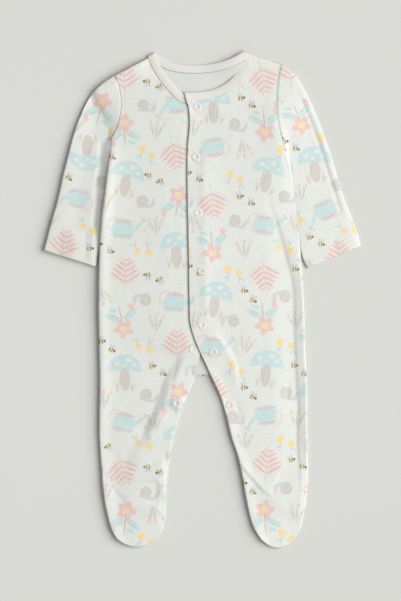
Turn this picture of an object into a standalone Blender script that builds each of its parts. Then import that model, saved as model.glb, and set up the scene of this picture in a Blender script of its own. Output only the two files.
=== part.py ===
"""A footed baby sleepsuit for about three months, lying flat on its back with its front closed.

x runs across the garment towards the wearer's left, y from the toes to the neck, and z is up.
Every size is in millimetres and becomes metres where a mesh is made.

The back is one piece with both legs and feet. Two fronts run from the shoulders to the toes, and
the left one laps over the right. Each panel is a wall through sections that cross it from its side
seam to its opening. The sleeves are flattened tubes through sections from the armhole to the wrist.
"""
import bmesh
import bpy
import numpy as np
from mathutils import Matrix, Vector

MM = 0.001

# ---------------------------------------------------------------- cloth and its levels
WALL = 1.2                 # one layer of cotton interlock
SEAM_GAP = 0.3             # what parts two pieces at a seam
BACK_LEVEL = WALL / 2      # middle of the back's wall, flat on the table
SIDE_LEVEL = 2.7           # height of the side seams
FRONT_LEVEL = 4.6          # middle of the fronts' wall
UNDERLAP_LEVEL = 2.3       # middle of the right front's wall below the left front
UNDERLAP_SLOPE = 16.0      # length over which the right front dips to it
UNDERLAP_ENDS = (-50.0, -90.0)   # y between which the underlap comes to its end
EDGE_ROLL = 2.7            # how far inside an outline the cloth has turned level
ROW_PITCH = 18.0
COLUMN_PITCH = 9.5
BACK_CELLS = 5             # cells of half the back's width
SLEEVE_CELLS = 6           # cells of a sleeve's width, and of the armhole it meets
SAME_PLACE = 0.02          # distance within which points are one

# Turn of the cloth at an outline: share of EDGE_ROLL inside it, and share of the rise.
EDGE_TURN = (
    (0.0, 0.0),
    (0.0, 0.3),
    (0.3, 0.8),
    (1.0, 1.0),
)

# ---------------------------------------------------------------- neck binding
BINDING_WIDTH = 9.0
BINDING_THICK = 1.7
BINDING_BACK_LEVEL = 0.95

# Free edge of the binding: x, y and the direction across it to its seam, in degrees.
RIGHT_NECK = (
    (6.5, 233.8, -90),
    (-7.5, 233.8, -102),
    (-17.0, 234.8, -122),
    (-23.0, 237.8, -132),
    (-29.5, 244.0, -141),
    (-36.0, 251.5, -146),
    (-42.0, 259.5, -146),
    (-47.0, 267.0, -147),
    (-51.0, 274.5, -150),
    (-54.5, 283.5, -152),
)
BACK_NECK = (
    (-54.5, 283.5, -152),
    (-48.5, 280.5, -136),
    (-40.5, 276.0, -112),
    (-29.5, 272.5, -97),
    (-15.5, 271.0, -90),
    (0.0, 271.0, -90),
    (13.5, 272.8, -82),
    (26.5, 276.0, -72),
    (38.5, 281.0, -60),
    (44.5, 284.5, -46),
    (49.0, 287.0, -28),
)
BACK_MIDDLE = 5            # row of BACK_NECK in the middle of the back
LEFT_NECK = (
    (49.0, 287.0, -28),
    (47.5, 280.5, -28),
    (45.5, 274.5, -29),
    (42.5, 268.0, -33),
    (37.0, 259.5, -41),
    (30.0, 252.2, -53),
    (21.0, 246.2, -66),
    (10.0, 242.0, -76),
    (-4.0, 239.5, -84),
    (-17.0, 239.0, -90),
)

# ---------------------------------------------------------------- panels
# Armhole: shoulder tip, underarm, and how far the seam bows towards the body.
RIGHT_ARMHOLE = ((-101.0, 259.0), (-105.5, 185.0), 9.5)
LEFT_ARMHOLE = ((90.5, 271.5), (96.5, 171.5), -7.0)

# Sections of the right front: name, side seam x and y, opening x and y,
# how far the section sags towards the toes, and 1 where the opening's edge is rolled down.
RIGHT_SECTIONS = (
    ("underarm", -105.5, 185.0, 6.5, 224.5, 0, 0),
    ("chest", -111.0, 138.0, 6.5, 170.5, 0, 0),
    ("waist", -117.0, 89.5, 6.5, 110.0, 0, 0),
    ("belly", -119.5, 36.0, 6.5, 47.5, 0, 0),
    ("seat", -120.0, -18.5, 5.0, -14.0, 0, 0),
    ("last popper", -119.5, -44.0, 1.5, -42.0, 0, 0),
    ("fork", -119.0, -68.5, -3.0, -66.0, 0, 0),
    ("crotch", -118.5, -91.5, -8.0, -86.0, 0, 0.5),
    ("thigh", -119.0, -134.5, -23.0, -125.5, 0, 1),
    ("knee", -119.0, -155.5, -29.0, -143.5, 0, 1),
    ("shin", -118.0, -176.5, -34.0, -160.0, 0, 1),
    ("calf", -116.5, -196.0, -37.5, -178.0, 0, 1),
    ("ankle", -113.5, -231.0, -42.0, -214.0, 0, 1),
    ("instep", -109.5, -250.5, -43.0, -235.5, 2, 1),
    ("toes", -105.0, -267.0, -44.0, -255.0, 6, 1),
    ("toe end", -99.0, -277.5, -48.0, -272.0, 12, 1),
)
LEFT_SECTIONS = (
    ("underarm", 96.5, 171.5, -17.0, 229.7, 0, 0),
    ("yoke line", 101.5, 154.5, -15.2, 205.5, 0, 0),
    ("chest", 105.0, 133.5, -17.5, 177.5, 0, 0),
    ("waist", 110.5, 87.0, -17.8, 118.5, 0, 0),
    ("belly", 115.0, 33.5, -16.5, 57.0, 0, 0),
    ("seat", 118.0, -19.5, -15.5, -2.5, 0, 0),
    ("last popper", 118.5, -45.0, -14.5, -28.0, 0, 0),
    ("fork", 119.5, -69.5, -7.5, -51.0, 0, 0),
    ("crotch", 120.5, -94.0, 3.0, -73.0, 0, 0.3),
    ("gusset", 121.0, -116.0, 13.0, -95.0, 0, 1),
    ("thigh", 121.0, -137.0, 22.5, -116.0, 0, 1),
    ("knee", 121.5, -158.0, 28.5, -137.5, 0, 1),
    ("shin", 122.0, -177.5, 34.0, -160.0, 0, 1),
    ("calf", 122.0, -197.0, 41.0, -181.0, 0, 1),
    ("ankle", 121.5, -216.0, 46.0, -203.0, 0, 1),
    ("heel", 120.0, -233.0, 50.0, -226.0, 0, 1),
    ("instep", 117.0, -249.5, 54.5, -248.0, 2, 1),
    ("toes", 113.0, -266.0, 60.5, -266.5, 5, 1),
    ("toe end", 106.5, -278.0, 68.0, -278.0, 10, 1),
)
# The back's edge between the legs, and the y of the side seams in line with it.
CROTCH_MIDDLE = (0.0, -88.5)
CROTCH_RIGHT = (-9.0, -90.5)
CROTCH_LEFT = (9.0, -87.0)
CROTCH_RIGHT_SIDE = -92.0
CROTCH_LEFT_SIDE = -92.0
CROTCH_STEP = 3.0                 # length from the crotch's middle to where the legs part
CROTCH_RISE = 25.0                # length over which the legs' inner edges rise from it

# ---------------------------------------------------------------- sleeves
# Sections after the armhole: outer x and y, y of the inner end beside the body's side seam,
# its clearance from the body, and what is left of the armhole's bow.
RIGHT_SLEEVE = (
    (-115.0, 251.5, 176.0, 0.6, 3.5),
    (-127.0, 239.5, 161.0, 0.5, 1.0),
    (-137.5, 222.0, 143.0, 0.4, 0.0),
    (-145.5, 203.0, 124.0, 0.4, 0.0),
    (-151.5, 184.0, 108.0, 0.5, 0.0),
    (-156.0, 164.5, 93.0, 0.6, 0.0),
    (-160.5, 144.5, 78.0, 0.8, 0.0),
    (-164.8, 124.5, 66.0, 1.1, 0.0),
    (-169.5, 106.0, 56.5, 2.3, 0.0),
    (-175.0, 87.5, 47.5, 3.6, 0.0),
    (-179.5, 70.0, 42.5, 4.2, 0.0),
    (-183.0, 57.0, 38.5, 5.0, 0.0),
)
LEFT_SLEEVE = (
    (104.0, 262.5, 162.0, 0.6, -3.0),
    (114.0, 249.5, 148.0, 0.5, -1.0),
    (122.0, 234.5, 132.5, 0.4, 0.0),
    (129.0, 219.0, 116.0, 0.4, 0.0),
    (135.5, 203.0, 101.5, 0.4, 0.0),
    (142.0, 184.5, 88.0, 0.5, 0.0),
    (148.0, 167.5, 76.0, 0.8, 0.0),
    (153.5, 149.5, 65.5, 1.3, 0.0),
    (158.5, 133.5, 56.5, 2.0, 0.0),
    (164.5, 116.0, 48.5, 3.2, 0.0),
    (171.5, 98.0, 42.5, 5.0, 0.0),
    (178.0, 79.5, 38.5, 6.7, 0.0),
    (183.0, 61.5, 36.5, 8.0, 0.0),
)
UNDERARM_EASE = 1.6        # how far the sleeve's seam swings clear of the body at the underarm

# ---------------------------------------------------------------- folds
# Large folds of the fronts and sleeves: start, middle and end of the line (x, y each),
# half-width, and rise (negative for a trough).
FOLDS = (
    ("right thigh", (-20, -57), (-44, -96), (-66, -155), 6.0, -1.7),
    ("right shin", (-66, -155), (-74, -175), (-80, -192), 8.0, -0.8),
    ("left thigh ridge", (6, -32), (32, -66), (41, -110), 7.0, 1.0),
    ("left thigh hollow", (21, -50), (36, -68), (44, -92), 5.5, -0.9),
    ("left ankle", (41, -189), (57, -208), (76, -226), 5.0, -1.8),
    ("left flank", (77, 130), (102, 58), (108, -4), 6.5, -1.6),
    ("left leg", (108, -4), (113, -110), (114, -234), 5.5, -1.5),
    ("right underarm", (-127, 226), (-106, 205), (-113, 166), 6.5, -1.8),
    ("right sleeve side", (-113, 166), (-116, 130), (-120, 84), 6.0, -1.2),
    ("left sleeve", (119, 236), (143, 175), (165, 98), 7.0, -0.8),
    ("right toes", (-50, -216), (-52, -232), (-54, -246), 5.0, -1.0),
)
FOLD_STEPS = 12

# ---------------------------------------------------------------- poppers
POPPER_RADIUS = 4.7
POPPER_HOLE = 2.4
POPPER_HEIGHT = 1.3
POPPER_SIDES = 14
LEFT_POPPERS = (
    (-6.0, 222.5),
    (-7.5, 164.5),
    (-5.0, 100.0),
    (-0.5, 32.5),
    (-0.5, -30.0),
    (12.5, -61.5),
    (32.0, -123.0),
)
RIGHT_POPPERS = (
    (-10.5, -58.5),
    (-29.5, -120.5),
)

# ---------------------------------------------------------------- colours (linear RGB)
CLOTH = (0.82, 0.81, 0.77)
CLOTH_INSIDE = (0.76, 0.78, 0.74)
BINDING = (0.84, 0.79, 0.73)
POPPER = (0.84, 0.80, 0.72)


# ================================================================ curves and heights
def smooth(knots, values, at):
    """Cubic through the rows of values, each with the slope between its two neighbours."""
    knots = np.asarray(knots, float)
    values = np.asarray(values, float)
    slopes = np.gradient(values, knots, axis=0)
    span = np.clip(np.searchsorted(knots, at, side="right") - 1, 0, len(knots) - 2)
    width = (knots[span + 1] - knots[span])[:, None]
    u = ((at - knots[span])[:, None]) / width
    start = (1 + 2 * u) * (1 - u) ** 2 * values[span] + u * (1 - u) ** 2 * width * slopes[span]
    end = u * u * (3 - 2 * u) * values[span + 1] - u * u * (1 - u) * width * slopes[span + 1]
    return start + end


def lengths_along(points):
    """Distance from the first point to each point, along the line through them."""
    steps = np.linalg.norm(np.diff(points, axis=0), axis=1)
    return np.concatenate(([0.0], np.cumsum(steps)))


def ease(x):
    """0 below 0, 1 above 1, and a smooth step between."""
    x = np.clip(x, 0, 1)
    return x * x * (3 - 2 * x)


def edge_turn():
    """Places inside a rolled outline, and the share of the rise at each."""
    turn = np.array(EDGE_TURN)
    return EDGE_ROLL * turn[:, 0], turn[:, 1]


def spread(width, cells):
    """Places across each width, with a turn at both ends and even cells between, and their lifts."""
    near, lift = edge_turn()
    width = np.asarray(width, float)[:, None]
    inner = near[-1] + np.arange(1, cells) / cells * (width - 2 * near[-1])
    first = np.broadcast_to(near, (len(width), len(near)))
    return np.hstack((first, inner, width - first[:, ::-1])), np.hstack((lift, np.ones(cells - 1), lift[::-1]))


def row_places(length, cells, first=False, last=False):
    """Places of the sections down a length, with a turn at a rolled end, and their lifts."""
    near, lift = edge_turn()
    start, start_lift = (near, lift) if first else (np.zeros(1), np.ones(1))
    end, end_lift = (near[::-1], lift[::-1]) if last else (np.zeros(1), np.ones(1))
    inner = np.linspace(start[-1], length - end[0], cells + 1)[1:-1]
    return np.concatenate((start, inner, length - end)), np.concatenate((start_lift, inner * 0 + 1, end_lift))


def fold_heights(x, y):
    """Sum of the folds: each a bell across its line, fading out at both ends."""
    total = np.zeros_like(x)
    place = np.stack((x, y), axis=-1)
    for _name, start, middle, end, half_width, rise in FOLDS:
        t = np.linspace(0, 1, FOLD_STEPS + 1)[:, None]
        line = (1 - t) ** 2 * np.array(start) + 2 * t * (1 - t) * np.array(middle) + t * t * np.array(end)
        nearest = np.full(x.shape, np.inf)
        along = np.zeros_like(x)
        for step in range(FOLD_STEPS):
            base = line[step]
            run = line[step + 1] - base
            u = np.clip(((place - base) @ run) / (run @ run), 0, 1)
            distance = np.linalg.norm(place - base - u[..., None] * run, axis=-1)
            closer = distance < nearest
            nearest = np.where(closer, distance, nearest)
            along = np.where(closer, (step + u) / FOLD_STEPS, along)
        fade = ease(4 * along + 0.35) * ease(4 * (1 - along) + 0.35)
        total += rise * fade * np.exp(-(nearest / half_width) ** 2)
    return total


def front_level(x, y):
    """Middle of the wall of the left front and of the sleeves' upper layer."""
    return FRONT_LEVEL + fold_heights(x, y)


def under_level(x, y):
    """Middle of the wall of the right front, which dips below the left front's free edge."""
    table = np.array([row[3:5] for row in LEFT_SECTIONS[:10]])
    lap = np.interp(-y, -table[:, 1], table[:, 0])
    below = ease((x - lap + UNDERLAP_SLOPE) / UNDERLAP_SLOPE)
    below = below * ease((y - UNDERLAP_ENDS[1]) / (UNDERLAP_ENDS[0] - UNDERLAP_ENDS[1]))
    level = front_level(x, y)
    return level + below * (UNDERLAP_LEVEL - level)


# ================================================================ outlines
def across_binding(table, at, offset):
    """Points offset from the neck binding's free edge, from one end of a run (0) to the other (1)."""
    rows = np.array(table, float)
    knots = lengths_along(rows[:, :2])
    rows = smooth(knots / knots[-1], rows, np.asarray(at, float))
    angle = np.radians(rows[:, 2])
    return rows[:, :2] + offset * np.stack((np.cos(angle), np.sin(angle)), axis=1)


def armhole(shape, at, offset=0.0):
    """Points on an armhole seam, from the shoulder tip (0) to the underarm (1)."""
    tip, underarm, bow = shape
    at = np.asarray(at, float)[:, None]
    line = np.array(tip) + at * (np.array(underarm) - np.array(tip))
    return line + np.array((1.0, 0.0)) * (4 * at * (1 - at) * bow + np.sign(bow) * offset)


def yoke_places(hole):
    """Places of the yoke's sections from the shoulder to the underarm, the lifts there that turn
    the cloth at the shoulder and at the underarm, and the armhole's length.

    They are the places across the sleeve's first section, so that the two edges match.
    """
    length = np.linalg.norm(np.array(hole[0]) - np.array(hole[1]))
    places, lifts = spread((length,), SLEEVE_CELLS)
    places, lifts = places[0, :-2], lifts[:-2]
    upper = places < length / 2
    return places, np.where(upper, lifts, 1.0), np.where(upper, 1.0, lifts), length


def panel_outline(hole, neck, lower, lower_places, lower_lifts):
    """A whole panel's sections, their lifts, and how far its side is rolled at each.

    The sections of the yoke run from the armhole to the neck seam, and those of lower from the
    side seam to the opening or to the middle of the back.
    """
    places, shoulder, underarm, length = yoke_places(hole)
    rows = np.zeros((len(places), 6))
    rows[:, 0:2] = armhole(hole, places / length, SEAM_GAP / 2)
    rows[:, 2:4] = across_binding(neck, places / length, BINDING_WIDTH + SEAM_GAP)
    return {
        "rows": np.vstack((rows, lower)),
        "places": np.concatenate((places, length + lower_places)),
        "lifts": np.concatenate((shoulder, lower_lifts)),
        "side_roll": np.concatenate((1 - underarm, np.ones(len(lower)))),
        "below_yoke": len(places),
    }


def front_outline(sections, hole, neck):
    """Outline of a front: below the yoke its sections run from the side seam to the opening."""
    table = np.array([row[1:] for row in sections], float)
    knots = lengths_along((table[:, 0:2] + table[:, 2:4]) / 2)
    places, lifts = row_places(knots[-1], int(round(knots[-1] / ROW_PITCH)), last=True)
    return panel_outline(hole, neck, smooth(knots, table, places), places, lifts)


def back_outline(front, hole, neck, crotch, crotch_side):
    """Outline of half the back, which has its front's side seam and inside leg.

    Its inner ends run down the middle of the back to the crotch, and then down the leg.
    """
    seam = front["rows"][front["below_yoke"]:]
    seam_places = front["places"][front["below_yoke"]:]
    seam_lifts = front["lifts"][front["below_yoke"]:]
    neck_middle = across_binding(neck, (1.0,), BINDING_WIDTH + SEAM_GAP)[0]
    length = neck_middle[1] - CROTCH_MIDDLE[1]
    down = np.linspace(0, 1, int(round(length / ROW_PITCH)) + 1)
    body = np.zeros((len(down), 6))
    body[:, 1] = hole[1][1] + down * (crotch_side - hole[1][1])
    body[:, 0] = np.interp(-body[:, 1], -seam[:, 1], seam[:, 0])
    body[:, 2:4] = neck_middle + down[:, None] * (np.array(CROTCH_MIDDLE) - neck_middle)
    legs = (seam[:, 1] < crotch_side - 4) & (seam[:, 3] < crotch[1] - 4)
    first = np.array((body[-1, 0], body[-1, 1] - 2, *crotch, 0, 0))
    leg = np.vstack((first, seam[legs]))
    leg_places = length + CROTCH_STEP + np.concatenate(([0.0], seam_places[legs] - seam_places[legs][0] + 12))
    leg[:, 5] = ease((leg_places - leg_places[0]) / CROTCH_RISE)
    rows = np.vstack((body, leg))
    places = np.concatenate((length * down, leg_places))
    lifts = np.concatenate((np.ones(len(body) + 1), seam_lifts[legs]))
    return panel_outline(hole, neck, rows, places, lifts)


def side_x(outline, y):
    """x of a panel's side seam at y."""
    seam = outline["rows"][outline["below_yoke"]:]
    return np.interp(-y, -seam[:, 1], seam[:, 0])


# ================================================================ surfaces
def across_section(rows, across, width):
    """x and y of the places across each section."""
    s = across / width[:, None]
    x = rows[:, 0, None] + s * (rows[:, 2] - rows[:, 0])[:, None]
    y = rows[:, 1, None] + s * (rows[:, 3] - rows[:, 1])[:, None]
    return x, y, 4 * s * (1 - s)


def panel_points(outline, cells, level, edge):
    """Points of a panel: level inside, and turned towards edge at each rolled side and end."""
    rows = outline["rows"]
    width = np.linalg.norm(rows[:, 2:4] - rows[:, 0:2], axis=1)
    across, lifts = spread(width, cells)
    x, y, middle = across_section(rows, across, width)
    y = y - middle * rows[:, 4, None]
    turn = len(EDGE_TURN)
    side = np.where(np.arange(len(lifts)) < turn, lifts, 1.0)
    opening = np.where(np.arange(len(lifts)) >= len(lifts) - turn, lifts, 1.0)
    lift = np.minimum(outline["lifts"][:, None], 1 - outline["side_roll"][:, None] * (1 - side))
    lift = np.minimum(lift, 1 - rows[:, 5, None] * (1 - opening))
    return np.stack((x, y, edge + lift * (level(x, y) - edge)), axis=-1)


def sleeve_points(sections, hole, outline):
    """Points of a sleeve: each section is a flat ring, its upper layer outwards and back below."""
    side = np.sign(hole[0][0])
    table = np.array(sections, float)
    inner = side_x(outline, table[:, 2]) + side * (WALL + table[:, 3])
    ends = np.column_stack((table[:, 0], table[:, 1], inner, table[:, 2], table[:, 4]))
    tip, underarm, bow = hole
    ends = np.vstack(((*tip, *underarm, bow), ends))
    knots = lengths_along((ends[:, 0:2] + ends[:, 2:4]) / 2)
    places, _lifts = row_places(knots[-1], int(round(knots[-1] / ROW_PITCH)))
    rows = smooth(knots, ends, places)
    width = np.linalg.norm(rows[:, 2:4] - rows[:, 0:2], axis=1)
    across, lift = spread(width, SLEEVE_CELLS)
    x, y, middle = across_section(rows, across, width)
    x = x + middle * rows[:, 4, None] + side * SEAM_GAP / 2
    x[0] += side * UNDERARM_EASE * (across[0] / width[0]) ** 5
    upper = np.stack((x, y, SIDE_LEVEL + lift * (front_level(x, y) - SIDE_LEVEL)), axis=-1)
    lower = np.stack((x, y, 0 * x + SIDE_LEVEL + lift * (BACK_LEVEL - SIDE_LEVEL)), axis=-1)
    return np.concatenate((upper, lower[:, -2:0:-1]), axis=1)


def binding_run(table, hole, level, turned):
    """Stations of the binding along one run, at the places of the panel that it edges."""
    places, _shoulder, _underarm, length = yoke_places(hole)
    at = np.append(np.unique(places / length), 1.0)
    free = across_binding(table, at, 0.0)
    middle = across_binding(table, at, BINDING_WIDTH / 2)
    across = (middle - free) / (BINDING_WIDTH / 2)
    flat = np.zeros(len(at))
    up = np.full(len(at), -1.0 if turned else 1.0)
    return (np.column_stack((middle, level(middle[:, 0], middle[:, 1]))),
            np.column_stack((across, flat)), np.column_stack((flat, flat, up)))


def backwards(run):
    """A run of stations from its other end."""
    return tuple(column[::-1] for column in run)


def binding_fold(upper, lower, outwards):
    """Stations that turn over the shoulder, from the front's level down to the back's."""
    across = upper[1]
    away = np.cross(across, (0, 0, 1)) * outwards
    radius = (upper[0][2] - lower[0][2]) / 2
    centre = np.array((upper[0][0], upper[0][1], lower[0][2] + radius))
    turns = np.radians((36, 72, 108, 144))
    up = np.cos(turns)[:, None] * np.array((0, 0, 1.0)) + np.sin(turns)[:, None] * away
    return centre + radius * up, np.repeat(across[None], len(turns), axis=0), up


def binding_points():
    """The neck binding: a strip with rounded long edges, carried along its stations.

    It runs from the underlap up the right front, turns over at the shoulder, crosses the back and
    comes down the left front. Across the back its other face is up.
    """
    def back_level(x, _y):
        return np.full_like(x, BINDING_BACK_LEVEL)

    right = binding_run(RIGHT_NECK[::-1], RIGHT_ARMHOLE, under_level, False)
    right_back = binding_run(BACK_NECK[:BACK_MIDDLE + 1], RIGHT_ARMHOLE, back_level, True)
    left_back = binding_run(BACK_NECK[:BACK_MIDDLE - 1:-1], LEFT_ARMHOLE, back_level, True)
    left = binding_run(LEFT_NECK, LEFT_ARMHOLE, front_level, False)
    right_fold = binding_fold([c[0] for c in right], [c[0] for c in right_back], 1)
    left_fold = binding_fold([c[0] for c in left], [c[0] for c in left_back], -1)
    across_back = tuple(c[1:] for c in backwards(left_back))[0:3]
    parts = (backwards(right), right_fold, right_back, across_back, backwards(left_fold), left)
    middle, across, up = (np.vstack([part[k] for part in parts]) for k in range(3))
    half, thick = BINDING_WIDTH / 2, BINDING_THICK / 2
    corner = 0.4 * BINDING_THICK
    outline = ((half, 0.45 * thick), (half - corner, thick), (corner - half, thick), (-half, 0.45 * thick),
               (-half, -0.45 * thick), (corner - half, -thick), (half - corner, -thick),
               (half, -0.45 * thick))
    return np.stack([middle + a * across + b * up for a, b in outline], axis=1)


# ================================================================ meshes
def material(name, colour, roughness):
    """A plain material of one colour."""
    mat = bpy.data.materials.new(name)
    mat.use_nodes = True
    shader = mat.node_tree.nodes["Principled BSDF"]
    shader.inputs["Base Color"].default_value = (*colour, 1)
    shader.inputs["Roughness"].default_value = roughness
    shader.inputs["Metallic"].default_value = 0.0
    return mat


def grid_faces(rows, columns, wrap=False, flip=False, first=0):
    """Quads of a grid of points. wrap joins its last column to its first."""
    across = columns if wrap else columns - 1
    r, c = np.meshgrid(np.arange(rows - 1), np.arange(across), indexing="ij")
    r, c = r.ravel(), c.ravel()
    after = (c + 1) % columns
    quads = first + np.stack((r * columns + c, (r + 1) * columns + c,
                              (r + 1) * columns + after, r * columns + after), axis=1)
    return quads[:, ::-1] if flip else quads


def add_object(name, points, faces, mat, collection):
    """An object of the sleepsuit, with its own material and its points in metres.

    Points in the same place, as where a seam runs or a turn has no room, become one.
    """
    mesh = bpy.data.meshes.new(name)
    mesh.from_pydata((points.reshape(-1, 3) * MM).tolist(), [], faces)
    joined = bmesh.new()
    joined.from_mesh(mesh)
    bmesh.ops.remove_doubles(joined, verts=joined.verts, dist=SAME_PLACE * MM)
    joined.to_mesh(mesh)
    joined.free()
    mesh.materials.append(mat)
    mesh.shade_smooth()
    obj = bpy.data.objects.new(name, mesh)
    collection.objects.link(obj)
    return obj


def thicken(obj):
    """Give a surface its wall, half on each side."""
    wall = obj.modifiers.new("wall", "SOLIDIFY")
    wall.thickness = WALL * MM
    wall.offset = 0
    wall.use_even_offset = False


def add_front(name, outline, level, mat, collection):
    """A front panel, from the shoulder to the toes."""
    rows = outline["rows"]
    widest = np.linalg.norm(rows[:, 2:4] - rows[:, 0:2], axis=1).max()
    points = panel_points(outline, int(round(widest / COLUMN_PITCH)), level, SIDE_LEVEL + SEAM_GAP / 2)
    faces = grid_faces(*points.shape[:2], flip=rows[0, 0] > 0).tolist()
    thicken(add_object(name, points, faces, mat, collection))


def add_back(right_outline, left_outline, mat, collection):
    """The back: its halves are joined down the middle, from the neck to the crotch."""
    def level(x, _y):
        return np.full_like(x, BACK_LEVEL)

    points, faces, first = [], [], 0
    for outline, flip in ((right_outline, False), (left_outline, True)):
        half = panel_points(outline, BACK_CELLS, level, SIDE_LEVEL - SEAM_GAP / 2)
        faces += grid_faces(*half.shape[:2], flip=flip, first=first).tolist()
        points.append(half.reshape(-1, 3))
        first += len(points[-1])
    thicken(add_object("back_panel", np.vstack(points), faces, mat, collection))


def add_sleeve(name, points, mat, collection):
    """A sleeve, open at the armhole and at the wrist."""
    faces = grid_faces(*points.shape[:2], wrap=True, flip=points[0, 0, 0] > 0).tolist()
    thicken(add_object(name, points, faces, mat, collection))


def add_binding(mat, collection):
    """The neck binding, closed at its two ends."""
    points = binding_points()
    stations, sides = points.shape[:2]
    faces = grid_faces(stations, sides, wrap=True, flip=True).tolist()
    faces.append(list(range(sides - 1, -1, -1)))
    faces.append(list(range((stations - 1) * sides, stations * sides)))
    add_object("neck_binding", points, faces, mat, collection)


def popper_mesh():
    """Profile of a ring popper's cap, from its outer foot up and over to its hole."""
    height = POPPER_HEIGHT
    rim = (POPPER_RADIUS - POPPER_HOLE) / 4
    profile = (
        (POPPER_RADIUS, 0.0),
        (POPPER_HOLE, 0.0),
        (POPPER_HOLE, 0.6 * height),
        (POPPER_HOLE + rim, height),
        (POPPER_RADIUS - rim, height),
        (POPPER_RADIUS, 0.5 * height),
    )
    mesh = bpy.data.meshes.new("popper")
    corners = [(radius * MM, 0.0, z * MM) for radius, z in profile]
    ring = [(k, (k + 1) % len(corners)) for k in range(len(corners))]
    mesh.from_pydata(corners, ring, [])
    return mesh


def add_popper(name, place, level, mesh, mat, collection):
    """A ring popper seated on the cloth, in line with its slope."""
    obj = bpy.data.objects.new(name, mesh.copy())
    obj.data.materials.append(mat)
    collection.objects.link(obj)
    turn = obj.modifiers.new("turned", "SCREW")
    turn.angle = 2 * np.pi
    turn.steps = POPPER_SIDES
    turn.render_steps = POPPER_SIDES
    turn.use_merge_vertices = True
    turn.merge_threshold = SAME_PLACE * MM
    angle = np.linspace(0, 2 * np.pi, POPPER_SIDES, endpoint=False)
    rim_x = place[0] + POPPER_RADIUS * np.cos(angle)
    rim_y = place[1] + POPPER_RADIUS * np.sin(angle)
    rim = level(rim_x, rim_y)
    slope_x = 2 * np.mean(rim * np.cos(angle)) / POPPER_RADIUS
    slope_y = 2 * np.mean(rim * np.sin(angle)) / POPPER_RADIUS
    plane = rim.mean() + slope_x * (rim_x - place[0]) + slope_y * (rim_y - place[1])
    up = Vector((-slope_x, -slope_y, 1.0)).normalized()
    seat = rim.mean() + (rim - plane).max() + (WALL / 2 + SEAM_GAP + 0.1) / up.z
    turned = up.to_track_quat("Z", "Y").to_matrix().to_4x4()
    obj.matrix_world = Matrix.Translation((place[0] * MM, place[1] * MM, seat * MM)) @ turned


def move_origin(collection):
    """Put the origin below the middle of the garment, on the table."""
    bpy.context.view_layer.update()
    graph = bpy.context.evaluated_depsgraph_get()
    corners = []
    for obj in collection.objects:
        seen = obj.evaluated_get(graph)
        corners += [seen.matrix_world @ vertex.co for vertex in seen.data.vertices]
    corners = np.array(corners)
    low, high = corners.min(axis=0), corners.max(axis=0)
    shift = Matrix.Translation((-(low[0] + high[0]) / 2, -(low[1] + high[1]) / 2, -low[2]))
    for obj in collection.objects:
        obj.matrix_world = shift @ obj.matrix_world


def main():
    """Build the sleepsuit."""
    for obj in list(bpy.data.objects):
        bpy.data.objects.remove(obj)
    suit = bpy.data.collections.new("footed_sleepsuit")
    bpy.context.scene.collection.children.link(suit)

    right_hole, left_hole = RIGHT_ARMHOLE, LEFT_ARMHOLE
    right_front = front_outline(RIGHT_SECTIONS, right_hole, RIGHT_NECK[::-1])
    left_front = front_outline(LEFT_SECTIONS, left_hole, LEFT_NECK)
    right_neck, left_neck = BACK_NECK[:BACK_MIDDLE + 1], BACK_NECK[:BACK_MIDDLE - 1:-1]
    right_back = back_outline(right_front, right_hole, right_neck, CROTCH_RIGHT, CROTCH_RIGHT_SIDE)
    left_back = back_outline(left_front, left_hole, left_neck, CROTCH_LEFT, CROTCH_LEFT_SIDE)

    add_back(right_back, left_back, material("back_cloth", CLOTH_INSIDE, 0.9), suit)
    add_front("front_right", right_front, under_level, material("front_right_cloth", CLOTH, 0.9), suit)
    add_front("front_left", left_front, front_level, material("front_left_cloth", CLOTH, 0.9), suit)
    right_tube = sleeve_points(RIGHT_SLEEVE, right_hole, right_front)
    left_tube = sleeve_points(LEFT_SLEEVE, left_hole, left_front)
    add_sleeve("sleeve_right", right_tube, material("sleeve_right_cloth", CLOTH, 0.9), suit)
    add_sleeve("sleeve_left", left_tube, material("sleeve_left_cloth", CLOTH, 0.9), suit)
    add_binding(material("binding_cloth", BINDING, 0.85), suit)

    ring = popper_mesh()
    places = [(place, front_level) for place in LEFT_POPPERS]
    places += [(place, under_level) for place in RIGHT_POPPERS]
    for number, (place, level) in enumerate(places, start=1):
        name = f"popper_{number}"
        add_popper(name, place, level, ring, material(name + "_resin", POPPER, 0.4), suit)
    bpy.data.meshes.remove(ring)
    move_origin(suit)


main()
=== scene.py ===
# %% [markdown]
# # A footed baby sleepsuit, laid flat on a table
#
# The suit is thin cotton knit. It has a back, two fronts, two sleeves, one neck binding and nine
# ring poppers, and it lies on its back with the front closed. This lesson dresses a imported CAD
# model of it: each stiff CAD solid is replaced by a thin cloth shell with the folds of real cloth.
#
# Places are worked out in millimetres and become metres where a mesh is made. x runs towards the
# wearer's left, y from the toes to the neck, and z up from the table.

from collections import namedtuple

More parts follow.
